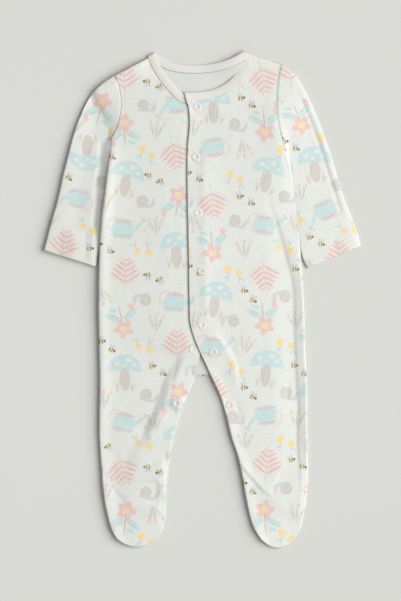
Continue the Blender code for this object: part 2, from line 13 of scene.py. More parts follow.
import bmesh
import bpy
import numpy as np
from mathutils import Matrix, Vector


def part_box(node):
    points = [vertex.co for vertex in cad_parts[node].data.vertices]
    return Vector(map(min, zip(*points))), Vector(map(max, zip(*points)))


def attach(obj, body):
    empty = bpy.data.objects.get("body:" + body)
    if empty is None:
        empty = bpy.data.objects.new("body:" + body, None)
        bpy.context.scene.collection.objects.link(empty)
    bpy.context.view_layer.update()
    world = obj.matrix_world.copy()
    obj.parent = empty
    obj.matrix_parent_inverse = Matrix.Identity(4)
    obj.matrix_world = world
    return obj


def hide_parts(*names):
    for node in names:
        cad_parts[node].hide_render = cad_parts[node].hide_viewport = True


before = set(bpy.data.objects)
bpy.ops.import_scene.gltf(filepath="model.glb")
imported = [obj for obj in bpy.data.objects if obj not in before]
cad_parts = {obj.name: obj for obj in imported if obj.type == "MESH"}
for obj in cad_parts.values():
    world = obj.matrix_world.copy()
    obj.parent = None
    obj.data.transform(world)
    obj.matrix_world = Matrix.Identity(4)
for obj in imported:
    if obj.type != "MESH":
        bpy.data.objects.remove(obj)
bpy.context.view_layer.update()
MM = 0.001

# %% [markdown]
# ## The pattern pieces
#
# A sewing pattern is a set of outlines, and the tables below are just that. One could draw them
# as curves by hand, but tables of a few sections can be joined by a smooth cubic and then sampled
# as finely as the cloth needs. They are the CAD source's tables, with a few places moved by
# about a millimetre, so every new surface lies where its solid lies.

# %% Levels of the layers
WALL = 1.2                 # one layer of cotton interlock
SEAM_GAP = 0.3             # what parts two pieces at a seam
BACK_LEVEL = 0.63          # middle of the back's wall, flat on the table
WEST_EDGE, EAST_EDGE = 4.2, 1.3   # height of edges that face the wearer's right and left
WEST_RISE, EAST_RISE = 1.5, -2.0  # how much the upper cloth stands up or sinks along them
WEST_REACH, EAST_REACH = 15.0, 42.0    # how far in it does so
EDGE_STARTS = 50.0         # length below the armhole over which it starts to do so
FRONT_LEVEL = 4.6          # middle of the fronts' wall
UNDERLAP_ENDS = (-50.0, -90.0)   # y between which the underlap comes to its end
BINDING_WIDTH = 9.0
BINDING_THICK = 1.9
BINDING_BACK_LEVEL = 1.3
BINDING_LIFT = 0.12        # of the binding above the fronts' wall
BINDING_OVER = 0.2         # how far it lies over the panels' edges

# %% Neck edge: x, y and the direction across it to the seam, in degrees
RIGHT_NECK = (
    (6.5, 233.8, -90), (-7.5, 233.8, -102), (-17.0, 234.8, -122), (-23.0, 237.8, -132),
    (-29.5, 244.0, -141), (-36.0, 251.5, -146), (-42.0, 259.5, -146), (-47.0, 267.0, -147),
    (-51.0, 274.5, -150), (-54.5, 283.5, -152),
)
BACK_NECK = (
    (-54.5, 283.5, -152), (-48.5, 280.5, -136), (-40.5, 276.0, -112), (-29.5, 272.5, -97),
    (-15.5, 271.0, -90), (0.0, 271.0, -90), (13.5, 272.8, -82), (26.5, 276.0, -72),
    (38.5, 281.0, -60), (44.5, 284.5, -46), (49.0, 287.0, -28),
)
BACK_NECK_RIGHT = BACK_NECK[:6]
BACK_NECK_LEFT = BACK_NECK[:4:-1]
LEFT_NECK = (
    (49.0, 287.0, -28), (47.5, 280.5, -28), (45.5, 274.5, -29), (42.5, 268.0, -33),
    (37.0, 259.5, -41), (30.0, 252.2, -53), (21.0, 246.2, -66), (10.0, 242.0, -76),
    (-4.0, 239.5, -84), (-17.0, 239.0, -90),
)

# %% Armholes: shoulder tip, underarm and bow
RIGHT_ARMHOLE = ((-101.0, 259.0), (-105.5, 185.0), 9.5)
LEFT_ARMHOLE = ((90.5, 271.5), (96.5, 171.5), -7.0)

# %% Sections of the fronts: side seam x, y, opening x, y, sag towards the toes, opening rolled
RIGHT_SECTIONS = (
    (-105.5, 185.0, 6.5, 224.5, 0, 0), (-111.0, 138.0, 6.5, 170.5, 0, 0),
    (-117.0, 89.5, 6.5, 110.0, 0, 0), (-119.5, 36.0, 6.5, 47.5, 0, 0),
    (-120.0, -18.5, 5.0, -14.0, 0, 0), (-119.5, -44.0, 1.5, -42.0, 0, 0),
    (-119.0, -68.5, -3.0, -66.0, 0, 0), (-118.5, -91.5, -8.0, -86.0, 0, 0.5),
    (-119.0, -134.5, -23.0, -125.5, 0, 1), (-119.0, -155.5, -29.0, -143.5, 0, 1),
    (-118.0, -176.5, -34.0, -160.0, 0, 1), (-116.5, -196.0, -37.5, -178.0, 0, 1),
    (-113.5, -231.0, -42.0, -214.0, 0, 1), (-109.5, -250.5, -43.0, -235.5, 2, 1),
    (-105.0, -267.0, -44.0, -255.0, 6, 1), (-99.0, -277.5, -48.0, -272.0, 12, 1),
)
LEFT_SECTIONS = (
    (96.5, 171.5, -16.6, 229.7, 0, 0), (101.5, 154.5, -14.5, 205.5, 0, 0),
    (105.0, 133.5, -16.7, 177.5, 0, 0), (110.5, 87.0, -17.0, 118.5, 0, 0),
    (115.0, 33.5, -15.8, 57.0, 0, 0), (118.0, -19.5, -14.8, -2.5, 0, 0),
    (118.5, -45.0, -13.8, -28.0, 0, 0), (119.5, -69.5, -7.0, -51.0, 0, 0),
    (120.5, -94.0, 3.0, -73.0, 0, 0.3), (121.0, -116.0, 13.0, -95.0, 0, 1),
    (121.0, -137.0, 22.5, -116.0, 0, 1), (121.5, -158.0, 28.5, -137.5, 0, 1),
    (122.0, -177.5, 34.0, -160.0, 0, 1), (122.0, -197.0, 41.0, -181.0, 0, 1),
    (121.5, -216.0, 46.0, -203.0, 0, 1), (120.0, -233.0, 50.0, -226.0, 0, 1),
    (117.0, -249.5, 54.5, -248.0, 2, 1), (113.0, -266.0, 60.5, -266.5, 5, 1),
    (106.5, -278.0, 68.0, -278.0, 10, 1),
)
CROTCH_MIDDLE = (0.0, -88.5)      # the back's edge between the legs
CROTCH_RIGHT = (-9.0, -90.5)
CROTCH_LEFT = (9.0, -87.0)
CROTCH_SIDE = -92.0
CROTCH_STEP = 2.0
CROTCH_CLEAR = 4.0
CROTCH_BOW = 8.0                  # bow of the last section above it
CROTCH_RISE = 25.0                # length over which the legs' inner edges roll up

# %% Sections of the sleeves: outer x, y, inner y, clearance from the body, bow left over
RIGHT_SLEEVE = (
    (-114.2, 250.3, 176.0, 0.6, 3.5), (-126.3, 238.8, 161.0, 0.5, 1.0),
    (-136.5, 221.5, 143.0, 0.4, 0.0), (-144.4, 202.6, 124.0, 0.4, 0.0),
    (-150.5, 183.7, 108.0, 0.5, 0.0), (-155.3, 164.3, 93.0, 0.6, 0.0),
    (-160.5, 144.5, 78.0, 0.8, 0.0), (-164.8, 124.5, 66.0, 1.1, 0.0),
    (-169.5, 106.0, 56.5, 2.3, 0.0), (-175.0, 87.5, 47.5, 3.6, 0.0),
    (-179.5, 69.4, 42.0, 4.2, 0.0), (-183.2, 55.9, 37.6, 5.0, 0.0),
)
LEFT_SLEEVE = (
    (104.0, 262.5, 162.0, 0.6, -3.0), (114.0, 249.5, 148.0, 0.5, -1.0),
    (122.0, 234.5, 132.5, 0.4, 0.0), (129.0, 219.0, 116.0, 0.4, 0.0),
    (135.5, 203.0, 101.5, 0.4, 0.0), (142.0, 184.5, 88.0, 0.5, 0.0),
    (148.0, 167.5, 76.0, 0.8, 0.0), (153.5, 149.5, 65.5, 1.3, 0.0),
    (158.1, 133.5, 56.5, 2.0, 0.0), (163.9, 116.0, 48.5, 3.2, 0.0),
    (171.0, 98.0, 42.5, 5.0, 0.0), (178.0, 79.5, 38.5, 6.7, 0.0),
    (183.2, 60.9, 36.0, 8.0, 0.0),
)
UNDERARM_EASE = 1.6
UNDERARM_SWING = 5

# %% Poppers: their places on the left front, then on the right one
POPPER_PLACES = (
    (-6.0, 222.5), (-7.5, 164.5), (-5.0, 100.0), (-0.5, 32.5), (-0.5, -30.0), (12.5, -61.5),
    (32.0, -123.0), (-10.5, -58.5), (-29.5, -120.5),
)
LEFT_POPPERS = 7
CENTRE = (np.array(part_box("popper_1")) / MM).mean(axis=0)[:2] - np.array(POPPER_PLACES[0])
print("packed model is moved by", CENTRE.round(2), "mm")

# %% [markdown]
# ## Folds laid one by one
#
# Cloth that lies on a table keeps soft troughs and ridges where it was pulled and patted down. A
# cloth simulation could make folds, but they would fall anywhere. Here each fold is a line drawn
# over the garment, and the height changes with the distance from that line: quickly near it,
# slowly further off, and with its own reach on either side, as real folds are seldom even.

# %% Curves and steps
def ease(x):
    """0 below 0, 1 above 1, and between them 3x^2 - 2x^3."""
    x = np.clip(x, 0, 1)
    return x * x * (3 - 2 * x)


def steps(x, table):
    """Sum of eased steps, each given by its height, the place where it starts and its length."""
    return sum(height * ease((x - start) / length) for height, start, length in table)


def smooth(knots, values, at):
    """Cubic through the rows of values, each with the slope between its two neighbours."""
    knots, values = np.asarray(knots, float), np.asarray(values, float)
    slopes = np.gradient(values, knots, axis=0)
    span = np.clip(np.searchsorted(knots, at, side="right") - 1, 0, len(knots) - 2)
    width = (knots[span + 1] - knots[span])[:, None]
    u = ((at - knots[span])[:, None]) / width
    start = (1 + 2 * u) * (1 - u) ** 2 * values[span] + u * (1 - u) ** 2 * width * slopes[span]
    end = u * u * (3 - 2 * u) * values[span + 1] - u * u * (1 - u) * width * slopes[span + 1]
    return start + end


def lengths_along(points):
    """Distance from the first point to each point, along the line through them."""
    return np.concatenate(([0.0], np.cumsum(np.linalg.norm(np.diff(points, axis=0), axis=1))))


# %% Distance from a line
LINE_STEP = 3.0            # a fold's line is measured in straight pieces of this length


def from_line(line, x, y):
    """Distance of each point from a smooth line, which side it is on, and how far along.

    The line is cut into straight pieces. Each point's nearest place on a piece is found by
    projection, and the nearest of all pieces is kept. The side is 1 on the wearer's left of a
    line that runs towards the toes.
    """
    line = np.asarray(line, float)
    knots = lengths_along(line)
    pieces = max(2, int(round(knots[-1] / LINE_STEP)))
    line = smooth(knots, line, np.linspace(0, knots[-1], pieces + 1))
    nearest, along, side = np.full(x.shape, np.inf), np.zeros_like(x), np.zeros_like(x)
    for piece in range(pieces):
        base, run = line[piece], line[piece + 1] - line[piece]
        across_x, across_y = x - base[0], y - base[1]
        u = np.clip((across_x * run[0] + across_y * run[1]) / (run @ run), 0, 1)
        distance = np.hypot(across_x - u * run[0], across_y - u * run[1])
        closer = distance < nearest
        nearest = np.where(closer, distance, nearest)
        along = np.where(closer, (piece + u) / pieces, along)
        side = np.where(closer, np.sign(run[0] * across_y - run[1] * across_x), side)
    return nearest, side, along


# %% Folds of the upper layer: line, rise, reach on the wearer's left and right, softness
FOLDS = (
    # broad forms: the body's right edge, the middle beside the poppers, the left flank, the feet
    (((-99, 186), (-104, 160), (-108, 136), (-113, 90), (-115.5, 36), (-116, -18), (-115, -70),
      (-115, -140), (-114, -180)), 1.2, 14.0, 3.0, 3.0),
    (((3, 210), (2, 170), (2, 100), (2, 0), (3, -30), (10, -52), (19, -74), (28, -100)),
     1.9, 15.0, 10.0, 4.0),
    (((74, 240), (80, 215), (86, 190), (88, 160), (93, 130), (99, 100)), 1.8, 9.0, 22.0, 4.0),
    (((-54, -180), (-51, -205), (-51, -230), (-54, -250), (-61, -264)), 1.6, 3.5, 26.0, 4.0),
    (((112, -180), (113, -215), (110, -245), (100, -263)), 1.6, 4.0, 30.0, 4.0),
    # wearer's right leg: the long trough from the crotch, and the slope up to its inner edge
    (((-20, -53), (-24.7, -60.3), (-32.8, -74.2), (-39.6, -83.5), (-45.3, -95.1), (-48.6, -105.6),
      (-51.4, -114.8), (-55.5, -125.3), (-61.3, -138), (-67.1, -149.6), (-69.8, -157.8),
      (-74.8, -167)), -2.2, 4.0, 40.0, 1.2),
    (((-17, -66), (-26, -82), (-32, -92), (-37, -102), (-40, -112), (-43, -121), (-48, -132),
      (-54, -144), (-60, -156), (-66, -168), (-72, -178)), 1.9, 22.0, 4.5, 1.6),
    (((-61.3, -138), (-69.8, -157.8), (-79, -170), (-85.7, -180), (-87.2, -190), (-86, -204)),
     -1.4, 15.0, 30.0, 1.5),
    (((-24.7, -65), (-31.2, -80.7), (-34, -94), (-36, -108)), -0.8, 2.0, 3.0, 0.8),
    (((-47, -178), (-46, -200), (-45.5, -216), (-46, -232)), 1.2, 3.0, 6.0, 1.5),
    (((-105.3, -218.1), (-100, -225), (-94.3, -232), (-88, -238)), -1.0, 3.0, 6.0, 1.2),
    (((-52.8, -208), (-53.2, -226), (-52.8, -240)), -1.9, 7.0, 26.0, 0.8),
    (((-39, -203), (-44.4, -207.6), (-50, -212)), -0.9, 2.0, 2.6, 0.6),
    (((-39.8, -182.1), (-50, -187), (-61.8, -192.2)), -0.7, 1.6, 2.4, 0.6),
    (((-45.6, -250), (-45.8, -258), (-46.5, -266)), -0.9, 1.5, 3.0, 0.6),
    (((-115.2, -205.9), (-110, -208), (-104, -209)), -0.9, 2.0, 2.0, 0.6),
    # wearer's left leg: ridge and hollow from the last popper, pucker, and the ankle's crease
    (((7.8, -33.6), (19.4, -47.6), (28.7, -61.5), (34.5, -73.1), (39.1, -91.6), (40.3, -105.6)),
     1.2, 5.0, 6.0, 1.6),
    (((14, -36), (25, -46), (34, -58), (40, -72), (44.5, -91), (46, -106)), -0.7, 6.0, 5.0, 1.2),
    (((18, -110.5), (21.7, -112.5), (28.7, -116), (35.6, -118.3), (40.3, -126.4), (44.9, -134.6)),
     -0.9, 2.0, 2.6, 0.7),
    (((39, -181), (42, -185.5), (45, -190), (49.5, -197), (57.5, -206), (64, -213.8), (72, -221.8),
      (80, -226.5), (86, -228)), 1.5, 16.0, 1.2, 0.5),
    (((50, -250), (55.3, -251.7), (60, -251)), -0.8, 1.6, 1.6, 0.6),
    (((101, -94), (100.6, -99.8), (99.2, -110), (98.3, -119.5)), -0.8, 1.8, 4.0, 0.6),
    # wearer's left flank: a long step beside the side seam, and a roll outside it
    (((68, 142), (74.9, 127.6), (79, 106.7), (82.8, 96.3), (86.4, 85.8), (91.4, 67.3),
      (95.1, 54.5), (98.1, 41.8), (101.4, 31.3), (104.3, 14.5), (105.6, -13.9), (106.1, -41.8),
      (107, -69.6), (108.9, -104.4), (110.7, -127.6), (109.3, -162.4), (111.8, -215.8),
      (108.7, -249.4)), -1.8, 2.2, 60.0, 0.7),
    (((90, 84), (101, 64), (107, 50), (112, 36), (115, 14), (117, -20), (118, -60), (120, -104),
      (120.5, -150), (120.5, -190), (119, -228)), 1.2, 8.0, 4.0, 1.2),
    # breast: a light ridge beside the popper band
    (((5, 74), (4.3, 50), (4.3, 0), (5, -30)), 0.45, 3.0, 3.0, 1.0),
    # wearer's right shoulder: its edge stands up, and small creases beside the armhole
    (((-60, 279), (-82, 268), (-101, 256), (-118, 243), (-130, 228)), 3.5, 12.0, 6.0, 2.0),
    (((-132, 240), (-128, 234), (-126, 226)), -0.9, 3.0, 4.0, 1.2),
    (((-121, 256), (-115, 247), (-111, 238)), -0.4, 2.0, 2.5, 0.8),
    # wearer's right side below the armhole: the body stands up beside the sleeve
    (((-101, 196), (-105, 168), (-109, 142), (-113, 112), (-115, 84), (-116, 62)),
     2.4, 12.0, 3.0, 2.0),
    # wearer's left sleeve: a thin ridge and a groove along its outer edge
    (((103, 246), (118.5, 215), (131, 181), (142.5, 146), (153.5, 112), (163, 84)),
     0.4, 3.0, 8.0, 0.8),
    (((107, 246), (122, 215), (135, 181), (146.3, 146), (157.3, 112), (167.6, 84)),
     -1.3, 1.7, 9.0, 0.3),
    (((103, 232), (118, 200), (133, 158), (146, 118)), -0.6, 10.0, 12.0, 2.0),
    # ripples at the cuffs
    (((-163, 82), (-164.5, 66), (-165.5, 44)), -0.6, 2.6, 5.0, 1.0),
    (((-134, 84), (-135.5, 66), (-136, 40)), -0.7, 3.0, 5.0, 1.0),
    (((-150, 76), (-150.5, 62), (-151, 42)), 0.3, 4.0, 4.0, 1.2),
    (((150, 74), (154, 60), (156, 42)), -0.5, 3.0, 3.0, 1.0),
    (((183, 72), (187, 60), (189, 50)), -0.5, 1.5, 2.0, 0.7),
)
FOLD_FADE = 0.22           # share of its length over which a fold dies away at either end


def fold_heights(x, y, folds=FOLDS):
    """Sum of the folds.

    Across its line, a fold of softness e and reach w falls away as
    exp(-(sqrt(s^2 + e^2) - e) / w), where s is the distance from the line. Along it, an eased
    step at both ends lets it fade into the flat cloth.
    """
    total = np.zeros_like(x)
    for line, rise, reach_left, reach_right, soft in folds:
        points = np.array(line)
        margin = 5 * max(reach_left, reach_right)
        low, high = points.min(axis=0) - margin, points.max(axis=0) + margin
        near = (x > low[0]) & (x < high[0]) & (y > low[1]) & (y < high[1])
        if not near.any():
            continue
        distance, side, along = from_line(line, x[near], y[near])
        reach = np.where(side > 0, reach_left, reach_right)
        fade = ease(along / FOLD_FADE) * ease((1 - along) / FOLD_FADE)
        total[near] += rise * fade * np.exp(-(np.sqrt(distance ** 2 + soft ** 2) - soft) / reach)
    return total


print(len(FOLDS), "folds in the upper layer")


# %% Unevenness of cloth that was patted flat
LATTICE = 64               # random numbers along each side of the lattice
BILLOW, RIPPLE, FINE = 0.32, 0.14, 0.035               # heights, from the broadest wave down
BILLOW_PITCH, RIPPLE_PITCH, FINE_PITCH = 38.0, 14.0, 5.0


def unevenness(x, y, pitch, seed):
    """Smooth random heights between -1 and 1.

    Random numbers stand on a square lattice, and between them the height is mixed with eased
    weights in both directions.
    """
    values = np.random.default_rng(seed).uniform(-1, 1, (LATTICE, LATTICE))
    u, v = x / pitch + LATTICE / 2 - 0.5, y / pitch + LATTICE / 2 - 0.5
    i, j = np.floor(u).astype(int), np.floor(v).astype(int)
    s, t = ease(u - i), ease(v - j)
    i, j = i % (LATTICE - 1), j % (LATTICE - 1)
    low = values[i, j] * (1 - s) + values[i + 1, j] * s
    high = values[i, j + 1] * (1 - s) + values[i + 1, j + 1] * s
    return low * (1 - t) + high * t


def lie(x, y, seed):
    """Height of patted cloth above its level: a broad billow, a soft ripple and a fine one."""
    along = 0.8 * x + 0.6 * y
    across = 0.8 * y - 0.6 * x
    broad = BILLOW * unevenness(along, across * 0.6, BILLOW_PITCH, seed)
    ripple = RIPPLE * unevenness(x - 0.3 * y, y * 0.5, RIPPLE_PITCH, seed + 1)
    return broad + ripple + FINE * unevenness(along, across, FINE_PITCH, seed + 2)


# %% Levels of the layers at any place
POPPER_SEAT, POPPER_EASE = 5.0, 6.0   # flat radius round each popper, and the slope outside it
LAP_STANDS, LAP_REACH = 1.1, 11.0     # how the left front stands up along its free edge
LIE_SEED = 11
UNDERLAP_DROPS = ((0.5, -28.0, 24.0), (1.1, -6.5, 6.5), (0.7, 0.0, 6.0))   # past the free edge
UNDERLAP_FLAT = 0.8                   # share of the folds that is lost under the left front


def away_from_popper(x, y, number):
    """0 on a popper's seat, and 1 away from it."""
    px, py = POPPER_PLACES[number]
    return ease((np.hypot(x - px, y - py) - POPPER_SEAT) / POPPER_EASE)


def popper_seats(level, x, y, numbers):
    """Cloth is pressed flat round each popper: its height eases to the height in the middle."""
    for number in numbers:
        middle = np.array(POPPER_PLACES[number])[:, None]
        seat = FRONT_LEVEL + fold_heights(*middle)[0]
        level = level + (1 - away_from_popper(x, y, number)) * (seat - level)
    return level


def lap_edge(y):
    """x of the left front's free edge at y."""
    table = np.array(LEFT_SECTIONS)
    return np.interp(-y, -table[:, 3], table[:, 2])


def lapped(y):
    """1 where the left front lies over the right one, and 0 below the underlap's end."""
    return ease((y - UNDERLAP_ENDS[1]) / (UNDERLAP_ENDS[0] - UNDERLAP_ENDS[1]))


def creased(x, y):
    """Level of the fronts with their folds and the unevenness of the cloth."""
    return FRONT_LEVEL + fold_heights(x, y) + lie(x, y, LIE_SEED)


def front_level(x, y):
    """Middle of the wall of the left front and of the sleeves' upper layer."""
    past = x - lap_edge(y)
    level = creased(x, y) + LAP_STANDS * np.exp(-(past / LAP_REACH) ** 2) * lapped(y)
    return popper_seats(level, x, y, range(LEFT_POPPERS))


def under_level(x, y):
    """Middle of the wall of the right front.

    It sinks a little towards the left front's free edge, steps down close to it, and is flat
    below it.
    """
    past = x - lap_edge(y)
    level = popper_seats(creased(x, y), x, y, range(LEFT_POPPERS, len(POPPER_PLACES)))
    covered = ease(past / 8) * lapped(y)
    level = level - covered * UNDERLAP_FLAT * (level - FRONT_LEVEL)
    return level - steps(past, UNDERLAP_DROPS) * lapped(y)


# %% Folds of the back, which show from below: it lifts off the table along them
BACK_FOLDS = (
    (((-92, 150), (-70, 118), (-40, 92), (-18, 70)), 0.7, 5.0, 3.5, 1.2),
    (((84, 120), (66, 92), (58, 60), (60, 30)), 0.6, 4.0, 5.0, 1.2),
    (((-30, 20), (-34, -20), (-44, -56), (-60, -86)), 0.7, 3.5, 5.0, 1.2),
    (((30, 6), (38, -30), (52, -66), (66, -96)), 0.6, 5.0, 3.5, 1.2),
    (((-50, -140), (-66, -162), (-84, -178)), 0.7, 3.0, 4.0, 1.0),
    (((48, -186), (62, -204), (82, -216)), 0.7, 3.0, 3.5, 1.0),
    (((-20, 236), (0, 228), (22, 234)), 0.5, 4.0, 4.0, 1.5),
    (((-136, 208), (-128, 176), (-132, 140)), 0.6, 3.0, 4.0, 1.0),
    (((120, 212), (122, 176), (134, 136)), 0.6, 3.0, 4.0, 1.0),
    (((-160, 110), (-158, 84), (-162, 58)), 0.5, 3.0, 3.0, 1.0),
    (((160, 104), (164, 80), (168, 56)), 0.5, 3.0, 3.0, 1.0),
)


NECK_RISE = (3.7, -4.0, 46.0)            # of the back's neck edge, from x, over this length
NECK_BAND = (250.0, 18.0)                # y from which the cloth under it rises too, over this
NECK_RISE_ENDS = (52.0, 20.0)            # x from which it falls again, over this length
CROTCH_LIFT, CROTCH_LIFT_WIDE = 1.3, 14.0   # of the cloth between the legs, round this y
CROTCH_LIFT_Y = -84.0
BACK_UNEVEN, BACK_SEED = 0.25, 5


def neck_lift(x):
    """Height by which the back's neck edge rises towards the left shoulder."""
    return steps(x, (NECK_RISE,))


def back_level(x, y):
    """Middle of the wall of the back and of the sleeves' lower layer: on the table or lifted."""
    lifted = BACK_UNEVEN * np.maximum(unevenness(x, y * 0.7, 30.0, BACK_SEED), 0)
    lifted = lifted + fold_heights(x, y, BACK_FOLDS)
    from_crotch = (x ** 2 + (y - CROTCH_LIFT_Y) ** 2) / CROTCH_LIFT_WIDE ** 2
    lifted = lifted + CROTCH_LIFT * np.exp(-from_crotch)
    near_neck = ease((y - NECK_BAND[0]) / NECK_BAND[1])
    near_neck = near_neck * (1 - ease((x - NECK_RISE_ENDS[0]) / NECK_RISE_ENDS[1]))
    return BACK_LEVEL + lifted + neck_lift(x) * near_neck


# %% [markdown]
# ## Cloth panels as grids of points
#
# A panel is a function of two parameters: how far down the garment, and how far across. Its
# sections run from the side seam to the opening, and the grid is packed more tightly near the
# outline, where the cloth turns over in a quarter of an ellipse and meets the back at the seam.

# %% Turn of the cloth at an outline
ROLL = 1.0                 # how far inside an outline the cloth has turned level
TURN_STEPS = 6
ROW_PITCH = 2.0            # between a panel's sections
COLUMN_PITCH = 2.0         # between the points across them
SLEEVE_CELLS = 38
GAP_FADE = 12              # how suddenly the armhole's gap closes at the underarm
TURN = np.linspace(0, np.pi / 2, TURN_STEPS)
TURN_PLACES = ROLL * (1 - np.cos(TURN))
TURN_CLOSE = np.cos(TURN)
SAME_PLACE = 0.003         # points this close are one point

# Sections, closeness of each to a rolled end, how far its side is rolled, and the yoke's count.
Outline = namedtuple("Outline", "rows ends side_roll yoke")


def widths(rows):
    """Length of each section, from its outer end to its inner one."""
    return np.linalg.norm(rows[:, 2:4] - rows[:, 0:2], axis=1)


def between(rows, over):
    """x and y at a share of the way across each section: outer + share (inner - outer)."""
    return [rows[:, k, None] + over * (rows[:, k + 2] - rows[:, k])[:, None] for k in (0, 1)]


def spread(width, cells):
    """Places across each width, close together at both ends, and their closeness to each end.

    The closeness is the cosine of an angle that goes from 0 at the outline to 90 degrees where
    the cloth is level, and the place is ROLL times one minus that cosine.
    """
    width = np.asarray(width, float)[:, None]
    middle = ROLL + np.arange(1, cells) / cells * (width - 2 * ROLL)
    first = np.broadcast_to(TURN_PLACES, (len(width), TURN_STEPS))
    near = np.concatenate((TURN_CLOSE, np.zeros(cells - 1 + TURN_STEPS)))
    return np.hstack((first, middle, width - first[:, ::-1])), near, near[::-1]


def down_panel(length):
    """Places of a panel's sections down its length, and their closeness to the toes' end."""
    level = np.linspace(0, length - ROLL, int(round(length / ROW_PITCH)) + 1)[:-1]
    close = np.concatenate((np.zeros(len(level)), TURN_CLOSE[::-1]))
    return np.append(level, length - TURN_PLACES[::-1]), close


def across_binding(table, at, offset):
    """Points offset from the neck's free edge, from one end of a run (0) to the other (1)."""
    rows = np.array(table, float)
    knots = lengths_along(rows[:, :2])
    rows = smooth(knots / knots[-1], rows, np.asarray(at, float))
    angle = np.radians(rows[:, 2])
    return rows[:, :2] + offset * np.stack((np.cos(angle), np.sin(angle)), axis=1)


def armhole(shape, at, offset=0.0):
    """Points on an armhole seam, from the shoulder tip (0) to the underarm (1): a parabola."""
    tip, underarm, bow = shape
    at = np.asarray(at, float)[:, None]
    line = np.array(tip) + at * (np.array(underarm) - np.array(tip))
    return line + np.array((1.0, 0.0)) * (4 * at * (1 - at) * bow + np.sign(bow) * offset)


def yoke_places(hole):
    """Places down the armhole, their closeness to the shoulder and the underarm, its length."""
    length = np.linalg.norm(np.array(hole[0]) - np.array(hole[1]))
    places, near, far = spread((length,), SLEEVE_CELLS)
    return places[0, :-1], near[:-1], far[:-1], length


def panel_outline(hole, neck, rows, ends):
    """A whole panel: the yoke from armhole to neck seam, then the sections below it."""
    places, shoulder, underarm, length = yoke_places(hole)
    yoke = np.zeros((len(places), 6))
    gap = SEAM_GAP / 2 * (1 - (places[:, None] / length) ** GAP_FADE)
    yoke[:, 0:2] = armhole(hole, places / length, gap)
    yoke[:, 2:4] = across_binding(neck, places / length, BINDING_WIDTH - BINDING_OVER)
    side_roll = np.append(underarm, np.ones(len(rows)))
    return Outline(np.vstack((yoke, rows)), np.append(shoulder, ends), side_roll, len(yoke))


def front_outline(sections, hole, neck):
    """Outline of a front: its table's sections, joined by a smooth cubic."""
    table = np.array(sections, float)
    knots = lengths_along((table[:, 0:2] + table[:, 2:4]) / 2)
    places, ends = down_panel(knots[-1])
    return panel_outline(hole, neck, smooth(knots, table, places), ends)


def side_x(outline, y):
    """x of a panel's side seam at y."""
    seam = outline.rows[outline.yoke:]
    return np.interp(-y, -seam[:, 1], seam[:, 0])


def back_outline(front, hole, neck, crotch):
    """Outline of half the back: its front's side seam and inside leg, and the middle line."""
    top = across_binding(neck, (1.0,), BINDING_WIDTH - BINDING_OVER)[0]
    count = int(round((top[1] - CROTCH_MIDDLE[1]) / ROW_PITCH))
    down = np.linspace(0, 1, count + 1)[:, None]
    side_y = hole[1][1] + down * (CROTCH_SIDE - hole[1][1])
    middle = top + down * (np.array(CROTCH_MIDDLE) - top)
    bow = -steps(down, ((CROTCH_BOW, 0.7, 0.3),))
    body = np.hstack((side_x(front, side_y), side_y, middle, bow, 0 * down))
    fork = np.array((body[-1, 0], CROTCH_SIDE - CROTCH_STEP, *crotch, 0, 0))
    seam = front.rows[front.yoke:]
    legs = (seam[:, 1] < fork[1] - CROTCH_CLEAR) & (seam[:, 3] < fork[3] - CROTCH_CLEAR)
    leg = np.vstack((fork, seam[legs]))
    leg[:, 5] = ease((fork[3] - leg[:, 3]) / CROTCH_RISE)
    ends = np.concatenate((np.zeros(len(body) + 1), front.ends[front.yoke:][legs]))
    return panel_outline(hole, neck, np.vstack((body, leg)), ends)


right_outline = front_outline(RIGHT_SECTIONS, RIGHT_ARMHOLE, RIGHT_NECK[::-1])
left_outline = front_outline(LEFT_SECTIONS, LEFT_ARMHOLE, LEFT_NECK)
right_back = back_outline(right_outline, RIGHT_ARMHOLE, BACK_NECK_RIGHT, CROTCH_RIGHT)
left_back = back_outline(left_outline, LEFT_ARMHOLE, BACK_NECK_LEFT, CROTCH_LEFT)
print("sections:", len(right_outline.rows), len(left_outline.rows), len(right_back.rows))

# %% Grooves along the seams
GROOVE_DEPTHS = (0.12, 0.06)   # along the armholes on the wearer's right and left
NECK_DIPS = (0.4, 0.1)         # along the front necks on the wearer's right and left
GROOVE_WIDTH = 0.8


def seam_dip(x, y, hole, top):
    """Depth by which cloth sinks towards a sewn seam, as a bell across the armhole's curve."""
    distance, _side, along = from_line(armhole(hole, np.linspace(0, 1, 9)), x, y)
    fade = ease((1 - along) / 0.2) * ease(along / 0.05) if top else 1.0
    return GROOVE_DEPTHS[int(hole is LEFT_ARMHOLE)] * fade * np.exp(-(distance / GROOVE_WIDTH) ** 2)


def neck_dip(x, y, neck):
    """Depth by which a front sinks where the binding is sewn over it."""
    seam = across_binding(neck, np.linspace(0, 1, 15), BINDING_WIDTH + BINDING_OVER)
    distance = from_line(seam, x, y)[0]
    return NECK_DIPS[int(neck is LEFT_NECK)] * np.exp(-(distance / GROOVE_WIDTH) ** 2)


# %% Points of a panel
def clear_of_poppers(x, y):
    """0 at a popper's seat and 1 away from it."""
    clear = np.ones_like(x)
    for number in range(len(POPPER_PLACES)):
        clear = clear * away_from_popper(x, y, number)
    return clear


